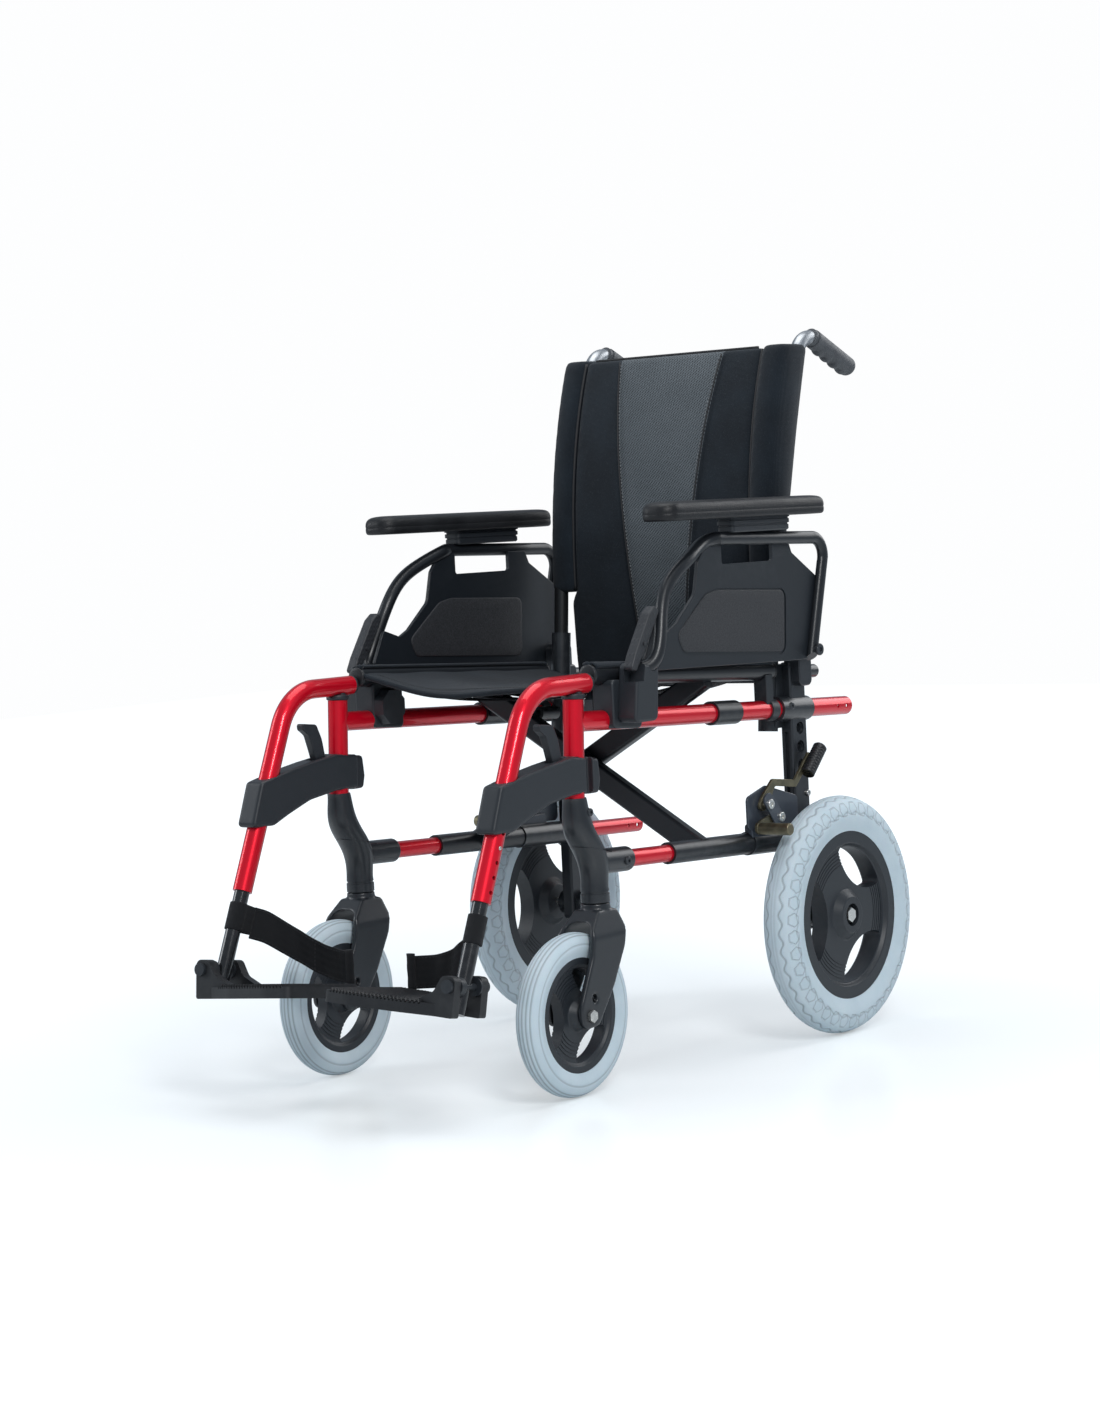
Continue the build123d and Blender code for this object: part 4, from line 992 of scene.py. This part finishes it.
def build_loop(name, flip):
    """The webbing's loop round the leg tube."""
    cosine, sine = math.cos(LOOP_SWING), math.sin(LOOP_SWING)
    behind = np.cross(LEG_UP, ACROSS)
    outline = [(x * cosine - y * sine) * ACROSS + (x * sine + y * cosine) * behind for x, y in loop_outline()]
    ups = np.linspace(-LOOP_HALF, LOOP_HALF, 12)
    rows = [[(LOOP_AT + up * LEG_UP + spot) * flip for spot in outline] for up in ups]
    flats = [(index * LOOP_STEP, up, 0) for up in ups for index in range(len(outline))]
    return webbing(name, rows, flats, closed=True)


def build_strap(name, flip):
    count = len(STRAP_LINE)
    shares = np.linspace(0, 1, 16)
    rows = [[strap_point(index, share) * flip for index in range(count)] for share in shares]
    flats = [(WEB_LONG * index / count, 2 * WEB_HALF * share, 0)
             for share in shares for index in range(count)]
    return webbing(name, rows, flats)


def build_hem(name, flip):
    """The doubled, stitched end that stands on the footplate's inner rear corner."""
    cosines, sines = circle(20)
    rings = []
    for up in np.linspace(-WEB_HALF - 0.001, WEB_HALF + 0.003, 10):
        swell = 1 + 0.05 * math.sin(up * 300)
        outline = np.stack([0.0062 * swell * cosines, 0.0034 * swell * sines, np.full(20, up)], axis=1)
        rings.append((STRAP_LINE[-3] + outline) * flip)
    piece = new_mesh(name, *capped(rings), WEBBING)
    store(piece, "flat", points_of(piece)[:, [0, 2, 1]])
    return piece


for side, sign in SIDES:
    flip = np.array([sign, 1, 1])
    strap = build_strap(f"{side}_heel_webbing", flip)
    seams = {"seam": [(62, up) for up in np.linspace(0.06, 0.94, 24)],
             "stitches_low": [(index, 0.07) for index in range(4, 106)],
             "stitches_high": [(index, 0.93) for index in range(4, 106)]}
    soft = [strap]
    for tag, spots in seams.items():
        line = [strap_point(*spot, -0.0013) * flip for spot in spots]
        soft.append(stitches(f"{side}_webbing_{tag}", line, THREAD))
    for piece in soft:
        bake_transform(piece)
    fit(build_loop(f"{side}_webbing_loop", flip), f"{side}_footrest")
    fit(build_hem(f"{side}_webbing_hem", flip), f"{side}_footplate")
    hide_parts(f"{side}_heel_strap")


# ---- footplate tread
TOE_UP, PLATE_RISE = math.radians(8.5), math.radians(3.5)
TOE_WAY = np.array([0, -math.cos(TOE_UP), math.sin(TOE_UP)])
PLATE_UP = np.array([math.sin(PLATE_RISE), math.sin(TOE_UP) * math.cos(PLATE_RISE),
                     math.cos(TOE_UP) * math.cos(PLATE_RISE)])
INBOARD = np.cross(TOE_WAY, PLATE_UP)
RIB_SIDE = -0.0212        # where a rib's sides start to slope, along PLATE_UP from the hinge
RIB_SECTION = [(-0.0013, -0.0226), (-0.0013, RIB_SIDE), (0.0003, -0.0186), (0.0009, -0.0186),
               (0.0013, RIB_SIDE), (0.0013, -0.0226)]
RIB_END = 0.0015


def build_teeth(name, flip):
    """Saw-toothed ribs that run from the toe edge towards the heel edge of the tread."""
    verts, faces = [], []
    for index in range(24):
        reach = 0.0386 + 0.0052 * index
        toe = np.interp(reach, (0.03, 0.06, 0.13, 0.165), (0.036, 0.045, 0.056, 0.054))
        heel = -np.interp(reach, (0.03, 0.06, 0.12, 0.165), (0.030, 0.050, 0.073, 0.071))
        rings = []
        for far, drop in ((toe + RIB_END, 0.0016), (toe, 0), (heel, 0), (heel - RIB_END, 0.0016)):
            foot = HINGE + reach * INBOARD + far * TOE_WAY
            rings.append([(foot + x * INBOARD + (up - drop * (up >= RIB_SIDE)) * PLATE_UP) * flip
                          for x, up in RIB_SECTION])
        rib, quads = capped(rings)
        faces += [tuple(len(verts) + corner for corner in quad) for quad in quads]
        verts += list(rib)
    return new_mesh(name, verts, faces, PLATE_PLASTIC, smooth=False)


# ---- side panel fields
# corners behind the axle and above the floor, each with the radius that rounds it
FIELD = [(-0.3035, 0.5475, 0.013), (-0.291, 0.5245, 0.013), (-0.0645, 0.5110, 0.013),
         (-0.0590, 0.5920, 0.013), (-0.213, 0.5990, 0.05), (-0.238, 0.5950, 0.03)]


def rounded_outline(corners):
    """Points along a polygon whose corners are rounded."""
    out = []
    for i, (*spot, radius) in enumerate(corners):
        here = np.array(spot)
        before = unit(corners[i - 1][:2] - here)
        after = unit(corners[(i + 1) % len(corners)][:2] - here)
        run = radius / math.tan(math.acos(before.dot(after)) / 2)
        for t in np.linspace(0, 1, 10):
            out.append(here + run * ((1 - t) ** 2 * before + t ** 2 * after))
    return np.array(out)


def build_field(name, x_base, outward):
    """Thin grained pad set into the panel, with a rounded rim."""
    outline = rounded_outline(FIELD)
    centre = outline.mean(axis=0)
    rings = []
    for shrink, proud in ((1.0, -0.0006), (1.0, 0.0006), (0.985, 0.0013), (0.96, 0.0015), (0.6, 0.0015)):
        ring = centre + (outline - centre) * shrink
        rings.append([(x_base + outward * proud, AXLE_Y + back, up) for back, up in ring])
    return new_mesh(name, *capped(rings), INLAY)


# ---- soft-edged castings
# the CAD node, its body, the new piece, its material and how often it is smoothed
CASTINGS = (("caster_fork", "caster_swivel", "fork_casting", CASTING, 16),
            ("hanger_latch", "hanger", "latch_moulding", DARK_PLASTIC, 8))


def soften(source, name, mat, turns):
    """A moulded copy of a CAD node whose edges and corners are blended round."""
    model = bpy.data.objects[source]
    mesh = model.data.copy()
    mesh.transform(model.matrix_world)
    mesh.materials.clear()
    mesh.materials.append(mat)
    piece = bpy.data.objects.new(name, mesh)
    scene.collection.objects.link(piece)
    modify(piece, "REMESH", mode="VOXEL", voxel_size=0.0012, use_smooth_shade=True)
    modify(piece, "SMOOTH", factor=0.5, iterations=turns)
    return piece


# ---- small moulded parts
def revolve(name, start, ahead, profile, mat, sides=32):
    """A turned piece: profile holds (distance along, radius) from start."""
    ahead = unit(ahead)
    ring = spokes(ahead, unit(np.cross(ahead, (0.2, 0.7, 0.45))), sides)
    return new_mesh(name, *capped([start + ahead * far + ring * radius for far, radius in profile]), mat)


def knurled(length):
    """Profile of the brake grip: nine raised bands and a domed end."""
    profile = [(0.0, 0.0085), (0.0008, 0.0094)]
    for band in range(9):
        base = 0.003 + band * 0.0045
        profile += [(base, 0.0095), (base + 0.0012, 0.0095), (base + 0.0018, 0.0088), (base + 0.0034, 0.0088),
                    (base + 0.004, 0.0095)]
    return profile + [(length - 0.001, 0.0094), (length + 0.0008, 0.0078), (length + 0.0012, 0.003)]


GRIP_LOW = at(217, -16, 346)
GRIP_WAY = at(217, 18, 379) - GRIP_LOW
GRIP_PROFILE = knurled(np.linalg.norm(GRIP_WAY))
CAP_PROFILE = [(-0.002, 0.0104), (0, 0.0127), (0.0014, 0.0129), (0.0022, 0.0120), (0.0026, 0.009),
               (0.0026, 0.002)]
BUTTON_PROFILE = [(-0.004, 0.0022), (0, 0.0024), (0.0007, 0.0023), (0.0011, 0.0016), (0.0013, 0.0006)]
HANGER_LOW = at(191, -677, 257)
HANGER_WAY = unit(HANGER_LOW - at(191, -573.3, 498))
BUTTON_AT = HANGER_LOW - 0.067 * HANGER_WAY + (0.0118, 0, 0)
# the left rail is welded to one cross tube and the right rail to the other
RAIL_BODY = {"left": "cross_a", "right": "cross_b"}

for side, sign in SIDES:
    flip = np.array([sign, 1, 1])
    fit(build_teeth(f"{side}_tread_ribs", flip), f"{side}_footplate")
    low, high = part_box(f"{side}_side_panel")
    outer_x, inner_x = (high[0], low[0]) if sign > 0 else (low[0], high[0])
    for tag, x, outward in (("outer", outer_x - sign * 0.0012, sign), ("inner", inner_x, -sign)):
        fit(build_field(f"{side}_panel_field_{tag}", x, outward), f"{side}_armrest")
    for source, body, label, mat, turns in CASTINGS:
        casting = soften(f"{side}_{source}", f"{side}_{label}", mat, turns)
        fit(casting, f"{side}_{body}", instead=f"{side}_{source}")
    grip = revolve(f"{side}_brake_grip", GRIP_LOW * flip, GRIP_WAY * flip, GRIP_PROFILE, CAP_PLASTIC)
    fit(grip, f"{side}_brake_lever")
    rail_way = (RAIL_FRONT - RAIL_REAR) * flip
    for tag, end, ahead in (("front", RAIL_FRONT, rail_way), ("rear", RAIL_REAR, -rail_way)):
        cap = revolve(f"{side}_rail_cap_{tag}", end * flip, ahead, CAP_PROFILE, CAP_PLASTIC)
        fit(cap, RAIL_BODY[side])
    button = revolve(f"{side}_snap_button", BUTTON_AT * flip, (sign, 0, 0), BUTTON_PROFILE, ZINC, 20)
    fit(button, f"{side}_hanger")


# ---- stage
def make_floor():
    """Pale floor with a painted glow, seen by the camera only, that brightens to white away from the chair.
    """
    mat, spot = new_look("pale_floor")
    away = node(spot, "VectorMath", {0: spot}, operation="LENGTH").outputs["Value"]
    seen = node(spot, "LightPath").outputs["Is Camera Ray"]
    # painted glow: emission for camera rays only, weaker near the chair and brighter away from it
    return finish(mat, None, Base_Color=(0.80, 0.83, 0.84), Roughness=0.25, Emission_Color=(0.97, 1.0, 1.0),
                  Emission_Strength=times(seen, ramp(away, 0.5, 2.6, 0.36, 0.80)))


def area_light(name, where, aim_up, power, size, colour=(1, 1, 1)):
    """A rectangular lamp that looks at a height on the chair's middle."""
    lamp = bpy.data.lights.new(name, "AREA")
    lamp.shape = "RECTANGLE"
    lamp.size, lamp.size_y = size
    lamp.energy = power
    lamp.color = colour
    holder = bpy.data.objects.new(name, lamp)
    holder.location = where
    holder.rotation_euler = (Vector((0, 0, aim_up)) - Vector(where)).to_track_quat("-Z", "Y").to_euler()
    scene.collection.objects.link(holder)


bpy.ops.mesh.primitive_plane_add(size=14, location=(0, 0, -0.0005))
floor = bpy.context.object
floor.name = "floor"
floor.data.materials.append(make_floor())

world = scene.world or bpy.data.worlds.new("studio")
scene.world = world
world.use_nodes = True
background = world.node_tree.nodes["Background"]
seen = node(background, "LightPath").outputs["Is Camera Ray"]
feed(background.inputs[0], mix(seen, (0.27, 0.31, 0.36), (0.985, 0.99, 0.995)))
scene.view_settings.view_transform = "Standard"

area_light("key", (2.4, -1.7, 2.4), 0.45, 52, (0.8, 1.2))
area_light("left_fill", (-2.6, -1.4, 1.6), 0.4, 22, (1.0, 1.8), (0.94, 0.97, 1))
area_light("top", (0, 0.2, 3.0), 0.4, 32, (2.4, 1.8))
area_light("rear_rim", (0.8, 2.8, 1.8), 0.6, 26, (2.0, 1.6))

AZIMUTH, ELEVATION, ROLL = (math.radians(angle) for angle in (38.11, 3.53, -2.83))
camera = bpy.data.objects.new("camera", bpy.data.cameras.new("camera"))
camera.data.lens = 78.36
camera.data.sensor_width = 36
stand = Matrix.Translation((2.475, AXLE_Y - 3.44, 0.698))
for angle, axis in ((AZIMUTH, "Z"), (math.pi / 2 - ELEVATION, "X"), (ROLL, "Z")):
    stand = stand @ Matrix.Rotation(angle, 4, axis)
camera.matrix_world = stand
scene.collection.objects.link(camera)
scene.camera = camera
